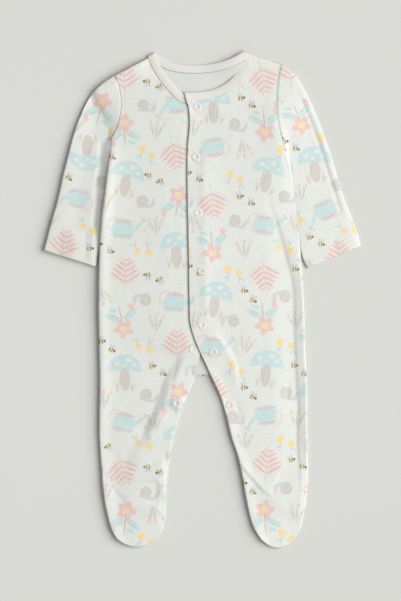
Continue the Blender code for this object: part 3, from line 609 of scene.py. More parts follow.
def panel_points(outline, cells, level, edges, rises=(0.0, 0.0), reaches=(1.0, 1.0)):
    """Points of a panel, from its sections.

    A point's place runs in a straight line across its section, bowed down by the sag. Its height
    is edge + lift (level - edge), with lift = sqrt(1 - a^2 - b^2 - c^2), where a, b and c are the
    closenesses to the rolled end, side seam and opening: a quarter of an ellipse over each edge.
    The level itself rises or sinks a little along the side seam and the inside leg.
    """
    rows, width = outline.rows, widths(outline.rows)
    across, near, far = spread(width, cells)
    over = across / width[:, None]
    x, y = between(rows, over)
    y = y - 4 * over * (1 - over) * rows[:, 4, None]
    close = (outline.ends[:, None] ** 2 + (outline.side_roll[:, None] * near) ** 2
             + (rows[:, 5, None] * far) ** 2)
    lift = np.sqrt(np.clip(1 - close, 0, 1))
    edge = edges[0] + over * (edges[1] - edges[0])
    below = ease((np.arange(len(rows)) - outline.yoke) * ROW_PITCH / EDGE_STARTS)[:, None]
    stand = (rises[0] * below * (1 - ease(across / reaches[0]))
             + rises[1] * rows[:, 5, None] * (1 - ease((width[:, None] - across) / reaches[1])))
    top = level(x, y) + stand * clear_of_poppers(x, y)
    return np.stack((x, y, edge + lift * (top - edge)), axis=-1)


def cells_across(outline):
    """Number of cells that gives the widest section the wanted pitch."""
    return int(round(widths(outline.rows).max() / COLUMN_PITCH))


# %% [markdown]
# ## From grids to meshes
#
# `from_pydata` takes a list of corners and a list of faces, so a whole grid goes in at once. The
# cloth's own flat coordinates go in as a UV map, in metres, and the print will be laid out on it.
# Points that fall together, as at the underarm, are merged, and Solidify gives the wall.

# %% Faces, UV map and wall
def grid_faces(rows, columns, wrap=False, flip=False, first=0):
    """Four corners of each cell of a grid. wrap joins its last column to its first."""
    cells = columns if wrap else columns - 1
    r, c = np.repeat(np.arange(rows - 1), cells), np.tile(np.arange(cells), rows - 1)
    after = (c + 1) % columns
    quads = first + np.stack((r * columns + c, (r + 1) * columns + c,
                              (r + 1) * columns + after, r * columns + after), axis=1)
    return quads[:, ::-1] if flip else quads


def add_object(name, data):
    """A new object in the scene."""
    piece = bpy.data.objects.new(name, data)
    bpy.context.scene.collection.objects.link(piece)
    return piece


def add_mesh(name, points, faces, materials, flat=None, merge=True):
    """A new piece from points in millimetres, with its flat cloth coordinates as a UV map."""
    points = points.reshape(-1, 3).copy()
    points[:, :2] += CENTRE
    mesh = bpy.data.meshes.new(name)
    mesh.from_pydata((points * MM).tolist(), [], [list(map(int, face)) for face in faces])
    if flat is not None:
        layer = mesh.uv_layers.new(name="cloth")
        corner = np.zeros(len(mesh.loops), dtype=np.int32)
        mesh.loops.foreach_get("vertex_index", corner)
        layer.data.foreach_set("uv", (flat.reshape(-1, 2)[corner] * MM).ravel())
    if merge:
        joined = bmesh.new()
        joined.from_mesh(mesh)
        bmesh.ops.remove_doubles(joined, verts=joined.verts, dist=SAME_PLACE * MM)
        joined.to_mesh(mesh)
        joined.free()
    for material in materials:
        mesh.materials.append(material)
    mesh.shade_smooth()
    return add_object(name, mesh)


def caps(rings, sides, first=0):
    """The two faces that close a tube's ends."""
    last = first + (rings - 1) * sides
    return [list(range(first + sides - 1, first - 1, -1)), list(range(last, last + sides))]


def thicken(piece):
    """Give a surface its wall, half on each side, with the second material on its inner face."""
    wall = piece.modifiers.new("wall", "SOLIDIFY")
    wall.thickness = WALL * MM
    wall.offset = 0
    wall.use_even_offset = False
    wall.material_offset = 1


def finish_piece(piece, slot, *nodes):
    """Every piece rides on the suit's one body and stands for its nodes. Its slot is not used."""
    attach(piece, "root")
    if nodes:
        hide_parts(*nodes)
    print(piece.name, len(piece.data.vertices), "points")


# %% [markdown]
# ## Materials
#
# Node materials can be built by hand in the shader editor. In a script it helps to have a small
# set of helpers, one for each kind of node, so that a pattern reads like a sum. Each motif of
# the print is a handful of ovals: a Mapping node moves, turns and scales the cloth coordinates,
# and the length of the result is below 1 inside the oval.

# %% Helpers for nodes
def srgb(red, green, blue):
    """Colour as a painter's 0 to 255 turned into light: ((c + 0.055) / 1.055) ^ 2.4."""
    c = np.array((red, green, blue)) / 255
    return tuple(np.where(c <= 0.04045, c / 12.92, ((c + 0.055) / 1.055) ** 2.4)) + (1.0,)


class Nodes:
    """The nodes of one material or group, with a short call for each kind that is used."""

    def __init__(self, tree):
        self.tree = tree

    def put(self, socket, value):
        """Link a result to a socket, or set the socket's own value."""
        if isinstance(value, bpy.types.NodeSocket):
            self.tree.links.new(value, socket)
        elif value is not None:
            socket.default_value = value

    def add(self, kind, inputs=None, **settings):
        """A node of a kind, with its settings and its inputs by name or number."""
        node = self.tree.nodes.new(kind)
        for name, value in settings.items():
            setattr(node, name, value)
        for name, value in (inputs or {}).items():
            self.put(node.inputs[name], value)
        return node

    def math(self, operation, *values, clamp=False):
        """Result of a Math node."""
        return self.add("ShaderNodeMath", dict(enumerate(values)), operation=operation,
                        use_clamp=clamp).outputs[0]

    def line(self, value, by, plus, clamp=False):
        """A value times one number plus another, perhaps kept between 0 and 1."""
        return self.math("MULTIPLY_ADD", value, by, plus, clamp=clamp)

    def vector(self, operation, *values):
        """Result of a Vector Math node."""
        node = self.add("ShaderNodeVectorMath", dict(enumerate(values)), operation=operation)
        return node.outputs["Value" if operation == "LENGTH" else "Vector"]

    def split(self, vector):
        """x and y of a vector."""
        node = self.add("ShaderNodeSeparateXYZ", {0: vector})
        return node.outputs[0], node.outputs[1]

    def moved(self, at, x, y, wide=1.0, high=1.0, turn=0.0):
        """Coordinates in which an oval at x, y of those half-sizes is a circle of radius 1."""
        node = self.add("ShaderNodeMapping", {
            "Vector": at, "Location": (x, y, 0), "Rotation": (0, 0, np.radians(turn)),
            "Scale": (wide, high, 1)}, vector_type="TEXTURE")
        return node.outputs[0]

    def inside(self, radius, size, soft=0.7):
        """1 where a radius is below 1 and 0 above it, over a soft edge of that width in mm."""
        steep = size / soft
        return self.line(radius, -steep, steep + 0.5, clamp=True)

    def oval(self, at, x, y, wide, high, turn=0.0, soft=0.7):
        """Cover of an oval."""
        radius = self.vector("LENGTH", self.moved(at, x, y, wide, high, turn))
        return self.inside(radius, min(wide, high), soft)

    def most(self, *covers):
        """Cover of several shapes together."""
        total = covers[0]
        for cover in covers[1:]:
            total = self.math("MAXIMUM", total, cover)
        return total

    def times(self, *values):
        """Product of several results."""
        total = values[0]
        for value in values[1:]:
            total = self.math("MULTIPLY", total, value)
        return total

    def without(self, cover, hole):
        """Cover of one shape where another isn't."""
        return self.times(cover, self.math("SUBTRACT", 1.0, hole))

    def mix(self, share, first, second):
        """Colour between two colours."""
        node = self.add("ShaderNodeMix", data_type="RGBA")
        self.put(node.inputs[0], share)
        self.put(node.inputs[6], first)
        self.put(node.inputs[7], second)
        return node.outputs[2]

    def noise(self, at, scale, detail=2.0, rough=0.5):
        """Noise between 0 and 1."""
        node = self.add("ShaderNodeTexNoise", {"Vector": at, "Scale": scale, "Detail": detail,
                                               "Roughness": rough})
        return node.outputs[0]

    def bump(self, strength, distance, height):
        """Normal of a surface with a small relief, the distance in metres."""
        return self.add("ShaderNodeBump", {"Strength": strength, "Distance": distance,
                                           "Height": height}).outputs[0]


def new_material(name, roughness, gloss=0.5):
    """A material with its helper for nodes and its shader."""
    material = bpy.data.materials.new(name)
    material.use_nodes = True
    shader = material.node_tree.nodes["Principled BSDF"]
    shader.inputs["Roughness"].default_value = roughness
    shader.inputs["Specular IOR Level"].default_value = gloss
    return material, Nodes(material.node_tree), shader


# %% [markdown]
# ## A garden print
#
# The cloth is printed with small watercolour pictures. They are a generic design made for this
# part: toadstools, blossoms, ferns, watering cans, buttercups, snails, bees and grass. The cloth
# is divided into cells, every second column is dropped by half a cell, and each cell's picture is
# chosen by its number and turned and shifted a little by a random number. Two more lattices of
# the same cells carry the small pictures between the large ones.

# %% Where the pictures stand
CELL_WIDE, CELL_HIGH, DROP = 60.0, 56.0, 28.0


def lattice(n, at, shift_x, shift_y, upside_down):
    """Local coordinates about the nearest picture's centre, and the cell's column and row.

    upside_down is the share of pictures that stand on their heads.
    """
    u, v = n.split(at)
    u = n.math("SUBTRACT", u, shift_x)
    column = n.math("FLOOR", n.math("DIVIDE", u, CELL_WIDE))
    drop = n.times(n.math("FLOORED_MODULO", column, 2.0), DROP)
    v = n.math("ADD", n.math("SUBTRACT", v, shift_y), drop)
    row = n.math("FLOOR", n.math("DIVIDE", v, CELL_HIGH))
    x = n.math("SUBTRACT", n.line(column, -CELL_WIDE, u), CELL_WIDE / 2)
    y = n.math("SUBTRACT", n.line(row, -CELL_HIGH, v), CELL_HIGH / 2)
    cell = n.add("ShaderNodeCombineXYZ", {0: column, 1: row}).outputs[0]
    seed = n.vector("ADD", cell, (shift_x, 7.0, 0.5))
    chance = n.add("ShaderNodeTexWhiteNoise", {"Vector": seed}, noise_dimensions="3D")
    roll, shift = chance.outputs[0], chance.outputs[1]
    jitter = n.vector("MULTIPLY_ADD", shift, (-6.0, -5.0, 0.0), (3.0, 2.5, 0.0))
    local = n.vector("ADD", n.add("ShaderNodeCombineXYZ", {0: x, 1: y}).outputs[0], jitter)
    turn = n.line(roll, 0.5, -0.25)
    flipped = n.times(n.math("LESS_THAN", roll, upside_down), np.pi)
    turned = n.add("ShaderNodeVectorRotate", {
        "Vector": local, "Angle": n.math("ADD", turn, flipped)}, rotation_type="Z_AXIS")
    return turned.outputs[0], column, row


def chosen(n, column, row, count, number):
    """1 in the cells whose column plus row leaves that number over when divided by count."""
    left = n.math("FLOORED_MODULO", n.math("ADD", row, column), float(count))
    return n.math("COMPARE", left, float(number), 0.3)


# %% Toadstool and blossom
def toadstool(n, at):
    """A spotted cap over a lined stem, with grass at its foot."""
    x, y = n.split(at)
    cap = n.oval(at, 0, 2, 19.5, 17.5)
    brim = n.line(n.line(n.times(x, x), 0.008, y), 1.6, -2.2, clamp=True)
    spots = n.most(n.oval(at, -9, 9, 3.2, 2.6, 20), n.oval(at, 4, 13, 3.6, 2.8, -8),
                   n.oval(at, 11, 7.5, 2.4, 2.2), n.oval(at, -1.5, 6, 2.2, 1.7))
    strokes = n.line(n.math("SINE", n.times(x, 2.3)), 0.6, 0.1, clamp=True)
    stem = n.oval(at, 0, -9, 6.2, 13.5, 3)
    blades = n.most(n.oval(at, -9.5, -18, 0.5, 4.4, 16), n.oval(at, -7.4, -17, 0.5, 5.2, -4),
                    n.oval(at, 8.4, -18, 0.5, 4.6, -14), n.oval(at, 10.6, -19, 0.5, 3.6, -30))
    top = n.times(cap, brim)
    return {"aqua": n.without(top, spots), "taupe": n.without(stem, top),
            "line": n.most(n.times(stem, strokes), blades)}


def petals(n, at, x, y, size, count, waves):
    """A flower: r < size (1 - waves + waves cos(count angle))."""
    local = n.moved(at, x, y)
    px, py = n.split(local)
    angle = n.times(n.math("ARCTAN2", py, px), float(count))
    reach = n.line(n.math("COSINE", angle), waves * size, (1 - waves) * size)
    gap = n.math("SUBTRACT", reach, n.vector("LENGTH", local))
    return n.line(gap, 1.4, 0.5, clamp=True)


def blossom(n, at):
    """Five petals over two leaves, with a bud."""
    flower = petals(n, at, 0, 6, 12.0, 5, 0.2)
    leaves = n.most(n.oval(at, -10.5, -8, 9.0, 3.6, 35), n.oval(at, 10.5, -9, 9.0, 3.4, -33),
                    n.oval(at, 8, -17, 5.0, 2.2, -20))
    stem = n.most(n.oval(at, 0, -9, 0.7, 11.5), n.oval(at, -6.5, -9.5, 6.5, 0.4, 35, 0.5),
                  n.oval(at, 8, -10, 7.0, 0.4, -33, 0.5))
    bud = n.oval(at, -14, -17, 3.2, 4.2, 25)
    return {"coral": n.most(n.without(flower, n.oval(at, 0, 6, 3.9, 3.9)), bud),
            "yellow": n.oval(at, 0, 6, 3.2, 3.2), "aqua": n.without(leaves, flower), "line": stem}


# %% Fern and watering can
def fern(n, at):
    """A stem with paired leaflets that shorten towards its tip.

    Below the tip the leaflets repeat every few millimetres. Each is an oval across the distance
    from the stem, and it slants upwards.
    """
    x, y = n.split(at)
    away = n.math("ABSOLUTE", x)
    slant = n.line(away, -0.65, y)
    step = n.math("SUBTRACT", n.math("FLOORED_MODULO", slant, 6.4), 3.2)
    reach = n.math("MAXIMUM", n.line(slant, -0.24, 6.6), 0.5)
    u = n.math("DIVIDE", n.math("SUBTRACT", away, reach), reach)
    w = n.math("DIVIDE", step, 2.1)
    radius = n.math("SQRT", n.math("ADD", n.times(u, u), n.times(w, w)))
    low = n.line(slant, 1.2, 18.0, clamp=True)
    high = n.line(slant, -1.2, 20.0, clamp=True)
    return {"salmon": n.times(n.inside(radius, 2.1), low, high),
            "taupe": n.oval(at, 0, -1, 0.8, 22)}


def watering_can(n, at):
    """A round-shouldered can with a spout, a rose, a hoop handle and a few drops."""
    body = n.times(n.oval(at, -3, -5, 12.5, 14.0),
                   n.line(n.split(at)[1], 1.4, 21.0, clamp=True))
    ring = n.vector("LENGTH", n.moved(at, -13, 1))
    hoop = n.math("SUBTRACT", 1.0, n.math("ABSOLUTE", n.math("SUBTRACT", ring, 8.0)), clamp=True)
    spout = n.oval(at, 13, 0, 2.1, 12, -42)
    band = n.most(n.oval(at, -3, 5.5, 11.0, 1.5), n.oval(at, -3, -11, 12.0, 1.2))
    drops = n.most(n.oval(at, 25, 2, 1.0, 1.7), n.oval(at, 22, -3, 1.0, 1.7),
                   n.oval(at, 26.5, -6, 0.9, 1.5))
    return {"aqua": n.most(body, spout), "salmon": n.most(n.without(hoop, body), band),
            "taupe": n.oval(at, 21, 9, 4.6, 1.5, -42), "grey": drops}


# %% Buttercups, snail, bees and grass
def buttercups(n, at):
    """Two small flowers with a leaf each."""
    flowers = n.most(petals(n, at, -6.5, 3, 5.4, 5, 0.16), petals(n, at, 6, -2, 4.6, 5, 0.16))
    hearts = n.most(n.oval(at, -6.5, 3, 1.5, 1.5), n.oval(at, 6, -2, 1.3, 1.3))
    leaves = n.most(n.oval(at, -9, -6, 3.8, 1.4, 40), n.oval(at, 10, -9.5, 3.4, 1.3, -35))
    return {"yellow": flowers, "coral": hearts, "aqua": leaves,
            "line": n.most(n.oval(at, -6.5, -6, 0.4, 4.5), n.oval(at, 6.2, -9.5, 0.4, 3.8))}


def snail(n, at):
    """A curled shell on a low body, with two horns."""
    shell = n.oval(at, -2, 1.5, 6.8, 6.4)
    curl = n.vector("LENGTH", n.moved(at, -1.4, 1.0))
    rings = n.line(n.math("COSINE", n.times(curl, 2.2)), 1.2, -0.4, clamp=True)
    body = n.most(n.oval(at, 1.5, -4.8, 10.5, 2.0), n.oval(at, 10, -1.8, 2.3, 3.4, -20))
    horns = n.most(n.oval(at, 10.2, 2.8, 0.4, 2.0, 8, 0.5),
                   n.oval(at, 12.2, 2.4, 0.4, 2.0, -22, 0.5))
    return {"taupe": shell, "line": n.most(n.times(shell, rings), horns),
            "grey": n.without(body, shell)}


def bees(n, at):
    """Two bees, each an oval with dark bands, a dark head and two pale wings."""
    parts = {"grey": [], "yellow": [], "slate": []}
    for x, y, turn in ((-6, 4.5, 12), (6.5, -3.5, -14)):
        local = n.moved(at, x, y, turn=turn)
        body = n.oval(local, 0, 0, 4.0, 2.7)
        band = n.math("COSINE", n.times(n.split(local)[0], 2.1))
        bands = n.times(body, n.line(band, -2.0, -0.2, clamp=True))
        parts["grey"] += [n.oval(local, -1.5, 3.8, 1.7, 3.0, 28),
                          n.oval(local, 1.6, 3.8, 1.6, 2.8, -20)]
        parts["yellow"].append(body)
        parts["slate"] += [bands, n.oval(local, 4.1, 0.2, 1.5, 1.6)]
    return {ink: n.most(*covers) for ink, covers in parts.items()}


def grass(n, at):
    """A tuft of thin blades with three seed heads."""
    blades = [n.oval(at, 1.6 * k - 0.02 * k * k, -2 + 0.5 * (k % 2), 0.42, 8.5 - 0.7 * abs(k),
                     -7 * k, 0.5) for k in (-4, -3, -1, 0, 2, 3)]
    heads = n.most(n.oval(at, -8.5, 6, 1.2, 2.4, 26), n.oval(at, 0.2, 8, 1.2, 2.6),
                   n.oval(at, 8, 6.5, 1.1, 2.2, -22))
    return {"line": n.most(*blades), "coral": heads}


# %% The whole print as one node group
INKS = (                   # in the order in which they are laid down
    ("aqua", srgb(192, 221, 221)), ("taupe", srgb(214, 207, 197)), ("coral", srgb(235, 194, 184)),
    ("salmon", srgb(232, 187, 179)), ("yellow", srgb(243, 217, 146)), ("grey", srgb(204, 207, 211)),
    ("line", srgb(188, 180, 168)), ("slate", srgb(78, 88, 95)),
)
PICTURES = (               # where each lattice starts, the share on their heads, its pictures
    (0.0, 0.0, 0.35, (toadstool, blossom, fern, watering_can)),
    (23.5, 28.0, 0.3, (buttercups, snail)), (36.5, 0.0, 0.3, (bees, grass)),
)
TO_MM = (1000.0, 1000.0, 0.0)   # turns the UV map's metres into millimetres


def garden_print():
    """Group: cloth coordinates in metres and the plain cloth's colour in, printed colour out."""
    tree = bpy.data.node_groups.new("garden_print", "ShaderNodeTree")
    tree.interface.new_socket("Cloth", in_out="INPUT", socket_type="NodeSocketVector")
    tree.interface.new_socket("Plain", in_out="INPUT", socket_type="NodeSocketColor")
    tree.interface.new_socket("Color", in_out="OUTPUT", socket_type="NodeSocketColor")
    n = Nodes(tree)
    given, result = n.add("NodeGroupInput"), n.add("NodeGroupOutput")
    at = n.vector("MULTIPLY", given.outputs[0], TO_MM)
    wobble = n.add("ShaderNodeTexNoise", {"Vector": at, "Scale": 0.35, "Detail": 1.0}).outputs[1]
    at = n.vector("ADD", at, n.vector("MULTIPLY_ADD", wobble, (1.6, 1.6, 0.0), (-0.8, -0.8, 0.0)))
    covers = {ink: [] for ink, _colour in INKS}
    for shift_x, shift_y, upside_down, motifs in PICTURES:
        local, column, row = lattice(n, at, shift_x, shift_y, upside_down)
        for number, motif in enumerate(motifs):
            here = chosen(n, column, row, len(motifs), number)
            for ink, cover in motif(n, local).items():
                covers[ink].append(n.times(cover, here))
    wash = n.line(n.noise(at, 0.22, 3.0, 0.6), 1.1, 0.3, clamp=True)
    colour = given.outputs[1]
    for ink, shade in INKS:
        colour = n.mix(n.times(n.most(*covers[ink]), wash), colour, shade)
    n.put(result.inputs[0], colour)
    print("the print has", len(tree.nodes), "nodes")
    return tree


# %% [markdown]
# ## Cotton knit
#
# Interlock is a fine rib knit on both faces. Its loops stand in columns about a millimetre apart,
# so the bump is a row of ribs with a small chevron across each. The print goes only on the outer
# face; the wrong side is a little cooler and plainer, with a ghost of the ink, and a little darker
# as painted shade for where it shows inside the neck. Where the cloth turns down at an edge its
# colour is darkened as painted shade, which keeps a rim that faces the lamp from glaring.

# %% Cotton materials
def knit_bump(n, at, wale, course, strength):
    """Bump of a knit: ribs |sin| across the cloth, with slanting loops along them."""
    x, y = n.split(at)
    ribs = n.math("ABSOLUTE", n.math("SINE", n.times(x, np.pi / wale)))
    slant = n.line(n.math("PINGPONG", x, wale / 2), 1.4, y)
    loops = n.math("SINE", n.times(slant, 2 * np.pi / course))
    height = n.line(loops, 0.25, ribs)
    fuzz = n.noise(at, 1.3, 3.0, 0.6)
    return n.bump(strength, 0.00012, n.line(fuzz, 0.9, height))


HEATHER = 0.13             # how far the yarn's tone varies
PAINTED_RIM_SHADE_SHARE = 0.5            # how much painted shade darkens the cloth where it turns down at an edge
# The third colour here is painted shade for turned edges; the first two are the yarn's own tones.
COTTON_SHADE, FLECK, PAINTED_RIM_SHADE_COLOUR = srgb(186, 184, 176), srgb(214, 205, 190), srgb(120, 118, 110)
WHITE = (1.0, 1.0, 1.0, 1.0)


def toned(colour, by):
    """A colour made darker or lighter."""
    return tuple(min(part * by, 1) for part in colour[:3]) + (1.0,)


def cotton(name, plain, print_group=None, ghost=1.0, wale=1.05, course=0.9, strength=0.35):
    """Cotton cloth on the piece's own UV map, plain or with the print."""
    material, n, shader = new_material(name, 0.92, 0.08)
    cloth = n.add("ShaderNodeUVMap", uv_map="cloth").outputs[0]
    at = n.vector("MULTIPLY", cloth, TO_MM)
    tone = n.mix(n.noise(at, 0.035, 3.0, 0.55), toned(plain, 0.975), toned(plain, 1.02))
    colour = tone
    if print_group:
        drawn = n.add("ShaderNodeGroup", {0: cloth, 1: tone}, node_tree=print_group)
        colour = drawn.outputs[0] if ghost == 1.0 else n.mix(ghost, tone, drawn.outputs[0])
    streaks = n.noise(n.vector("MULTIPLY", at, (1.0, 0.4, 1.0)), 0.75, 2.0, 0.7)
    streaks = n.line(streaks, 2.2, -0.78, clamp=True)
    colour = n.mix(streaks, n.mix(HEATHER, colour, COTTON_SHADE), n.mix(HEATHER, colour, WHITE))
    fleck = n.math("GREATER_THAN", n.noise(at, 0.9, 1.0), 0.74)
    colour = n.mix(n.times(fleck, 0.25), colour, FLECK)
    # Painted shade: where the cloth's normal leans away from upright, at a turned edge, its colour
    # is mixed towards the dark rim tone.
    facing = n.add("ShaderNodeSeparateXYZ", {0: n.add("ShaderNodeTexCoord").outputs["Normal"]})
    level = n.math("ABSOLUTE", facing.outputs[2])
    steep = n.line(level, -1.6, 1.2, clamp=True)
    n.put(shader.inputs["Base Color"], n.mix(n.times(steep, PAINTED_RIM_SHADE_SHARE), colour, PAINTED_RIM_SHADE_COLOUR))
    n.put(shader.inputs["Normal"], knit_bump(n, at, wale, course, strength))
    return material


print_group = garden_print()
printed_cotton = cotton("printed_cotton", srgb(227, 229, 223), print_group)
# The wrong side's plain tone is a little darker than the outer face's, as painted shade for where
# it shows inside the neck.
wrong_side_painted_shade = cotton("cotton_wrong_side_painted_shade", srgb(219, 223, 218), print_group, ghost=0.05)
binding_cotton = cotton("binding_cotton", srgb(232, 229, 223), wale=0.8, course=1.6, strength=0.45)

# %% [markdown]
# ## The fronts and the back
#
# Each panel's flat coordinates are its own x and y, shifted so that the print doesn't run on
# from panel to panel: a cutter never matches it. The back is seen from below, so its coordinates
# are mirrored, or its pictures would be.

# %% The two fronts
def edge_heights(outline):
    """Heights of a panel's side seam and inside leg, how its cloth rises there and how far in."""
    table = np.array(((WEST_EDGE, EAST_EDGE), (WEST_RISE, EAST_RISE), (WEST_REACH, EAST_REACH)))
    return table if outline.rows[0, 0] < 0 else table[:, ::-1]


def add_front(name, outline, level, shift, slot, node):
    """A front from the shoulder to the toes, with its grid of points kept for the stitching."""
    left = outline.rows[0, 0] > 0
    hole, neck = (LEFT_ARMHOLE, LEFT_NECK) if left else (RIGHT_ARMHOLE, RIGHT_NECK)
    edges, rises, reaches = edge_heights(outline)

    def seated(x, y):
        return level(x, y) - seam_dip(x, y, hole, True) - neck_dip(x, y, neck)

    points = panel_points(outline, cells_across(outline), seated, edges + SEAM_GAP / 2, rises,
                          reaches)
    faces = grid_faces(*points.shape[:2], flip=left)
    piece = add_mesh(name, points, faces, (printed_cotton, wrong_side_painted_shade), points[..., :2] + shift)
    thicken(piece)
    finish_piece(piece, slot, node)
    return piece, points


front_right, right_points = add_front("front_right_cotton", right_outline, under_level, (0.0, 0.0),
                                      "front_right_cloth", "front_right")
front_left, left_points = add_front("front_left_cotton", left_outline, front_level, (17.0, 25.0),
                                    "front_left_cloth", "front_left")


# %% The back
def back_points(outline):
    """Points of half the back, lying on the table and turned up at the side seams."""
    edges = edge_heights(outline)[0] - SEAM_GAP / 2
    return panel_points(outline, cells_across(left_back), back_level, edges)


right_half, left_half = back_points(right_back), back_points(left_back)
points = np.vstack((right_half.reshape(-1, 3), left_half.reshape(-1, 3)))
first = len(points) - left_half.shape[0] * left_half.shape[1]
faces = np.vstack((grid_faces(*right_half.shape[:2]),
                   grid_faces(*left_half.shape[:2], flip=True, first=first)))
back = add_mesh("back_cotton", points, faces[:, ::-1], (printed_cotton, wrong_side_painted_shade),
                points[:, :2] * (-1, 1) + (9.0, 13.0))
thicken(back)
finish_piece(back, "back_cloth", "back_panel")

# %% [markdown]
# ## The sleeves
#
# A sleeve that lies flat is a tube with two layers. Each of its sections is a closed ring: across
# the upper layer from the outer edge to the edge beside the body, and back along the lower one.
# Beside the body it dips, so that the body's edge lies a little over it.

# %% Sleeves at rest
TUCK = (1.9, 2.1)          # how far the right and left sleeve go under the body's edge
INNER_EDGE = 1.5           # height of its inner edge
SLEEVE_LOWEST, SLEEVE_HIGHEST = BACK_LEVEL + 0.9, 7.2
LAYERS_APART = 1.3
SLEEVE_GRAIN = 15.0        # degrees by which its grain leans outwards
CUFF_LIFT = 1.2            # how the right cuff stands up beside the body
CUFF_TOP = 84.0
SETTLE_OUTER, SETTLE_INNER = 60.0, 16.0   # length over which its two edges settle
# Band of the right sleeve beside the body: its width grows up the sleeve, with a bulge.
BAND_LEAST, BAND_GROWTH = 4.0, ((6.5, 62.0, 32.0), (3.2, 148.0, 30.0))
BAND_BULGE, BULGE_Y, BULGE_LONG = 2.6, 136.0, 18.0
BAND_TOP = (186.0, 16.0)   # y at which it starts to end, and the length that it takes
HIGH_SLEEVE = (1.0, 142.0, 22.0)
# The crease of the right sleeve that runs down from its top to the underarm.
SLEEVE_FOLDS = (
    (((-134, 236), (-130, 230), (-124, 223), (-118, 212), (-114, 200), (-111.5, 188), (-112, 176)),
     -2.8, 7.0, 18.0, 1.4),
)


def right_sleeve_rest(from_outer, from_body, y):
    """Height of the right sleeve's upper layer: highest at its outer fold, sunk in the band.

    The band's floor climbs again under the body's edge, more so high up the sleeve.
    """
    high = steps(y, (HIGH_SLEEVE,))
    bulge = BAND_BULGE * np.exp(-((y - BULGE_Y) / BULGE_LONG) ** 2)
    band = BAND_LEAST + bulge + steps(y, BAND_GROWTH)
    base = 3.3 - 0.7 * high + (1.4 + 0.7 * high) * ease((from_body - band) / 42)
    base = base + 1.4 * (1 - ease(from_outer / 34))
    floor = 1.5 + (1.6 + 1.2 * high) * (1 - ease(from_body / (band - 2)))
    inside = 1 - ease((from_body - band + 3.0) / 6.0)
    inside = inside * (1 - ease((y - BAND_TOP[0]) / BAND_TOP[1]))
    return base + inside * (floor - base)


def left_sleeve_rest(from_outer, from_inner):
    """Height of the left sleeve's upper layer: nearly level, with a rounded outer edge."""
    level = 2.4 + 0.2 * ease(from_inner / 14) + 0.3 * (1 - ease(from_outer / 24))
    return level - 0.7 * (1 - ease(from_outer / 7))


def sleeve_level(x, y, down, across, width, hole, outline):
    """Middle of the wall of a sleeve's upper layer.

    From the front's level at the armhole it eases down the sleeve to the sleeve's own height at
    rest, sooner beside the body than along the outer edge.
    """
    side, over = np.sign(hole[0][0]), across / width
    from_body = side * (x - side_x(outline, y))
    if side < 0:
        rest = right_sleeve_rest(across, from_body, y)
    else:
        rest = left_sleeve_rest(across, width - across)
    settle = SETTLE_OUTER + (SETTLE_INNER - SETTLE_OUTER) * ease((over - 0.35) / 0.4)
    level = front_level(x, y) + ease((down - 2) / settle) * (rest - FRONT_LEVEL)
    if side < 0:
        at_cuff = ease((CUFF_TOP - y) / 24) * ease((over - 0.2) / 0.4) * ease((from_body - 2) / 8)
        level = level + fold_heights(x, y, SLEEVE_FOLDS) + CUFF_LIFT * at_cuff
    level = level - seam_dip(x, y, hole, False) * (1 - ease(down / 12))
    return np.clip(level, SLEEVE_LOWEST, SLEEVE_HIGHEST)


# %% Rows and rings of a sleeve
def sleeve_rows(sections, hole, outline):
    """Sections from the armhole seam to the wrist, joined by a smooth cubic, and how far down."""
    side = np.sign(hole[0][0])
    table = np.array(sections, float)
    inner = side_x(outline, table[:, 2]) + side * (WALL + table[:, 3] - TUCK[int(side > 0)])
    ends = np.column_stack((table[:, 0], table[:, 1], inner, table[:, 2], table[:, 4]))
    tip, underarm, bow = hole
    ends = np.vstack(((*tip, *underarm, bow), ends))
    knots = lengths_along((ends[:, 0:2] + ends[:, 2:4]) / 2)
    down = np.linspace(0, knots[-1], int(round(knots[-1] / ROW_PITCH)) + 1)
    return smooth(knots, ends, down), down[:, None]


def flat_sleeve(x, y, side):
    """Flat cloth coordinates of the upper layer, along the grain, and of the lower, mirrored."""
    grain = np.radians(SLEEVE_GRAIN) * side
    u = x * np.cos(grain) + y * np.sin(grain)
    v = y * np.cos(grain) - x * np.sin(grain)
    return np.stack((u, v), axis=-1), np.stack((2 * u[:, :1] - u, v), axis=-1)


def closed_ring(upper, lower):
    """Each row across the upper layer and back along the lower one."""
    return np.concatenate((upper, lower[:, ::-1][:, 1:]), axis=1)


def sleeve_points(sections, hole, outline):
    """Rings of a sleeve from the armhole to the wrist, and their flat cloth coordinates.

    As on a panel, a height is edge + lift (level - edge), with a quarter of an ellipse at both
    edges. The two layers share their edges, which makes each section a ring.
    """
    side = np.sign(hole[0][0])
    rows, down = sleeve_rows(sections, hole, outline)
    width = widths(rows)[:, None]
    across, near, far = spread(width[:, 0], SLEEVE_CELLS)
    over = across / width
    x, y = between(rows, over)
    x = x + 4 * over * (1 - over) * rows[:, 4, None] + side * SEAM_GAP / 2
    x[0] += side * UNDERARM_EASE * over[0] ** UNDERARM_SWING
    lift = np.sqrt(np.clip(1 - near ** 2 - far ** 2, 0, 1))
    level = sleeve_level(x, y, down, across, width, hole, outline)
    outer_edge = WEST_EDGE if side < 0 else EAST_EDGE
    edge = outer_edge + ease((down - 2) / 20) * ease((over - 0.5) * 4) * (INNER_EDGE - outer_edge)
    below = np.minimum(back_level(x, y), level - LAYERS_APART)
    layers = [np.stack((x, y, edge + lift * (z - edge)), axis=-1) for z in (level, below)]
    return closed_ring(*layers), closed_ring(*flat_sleeve(x, y, side))


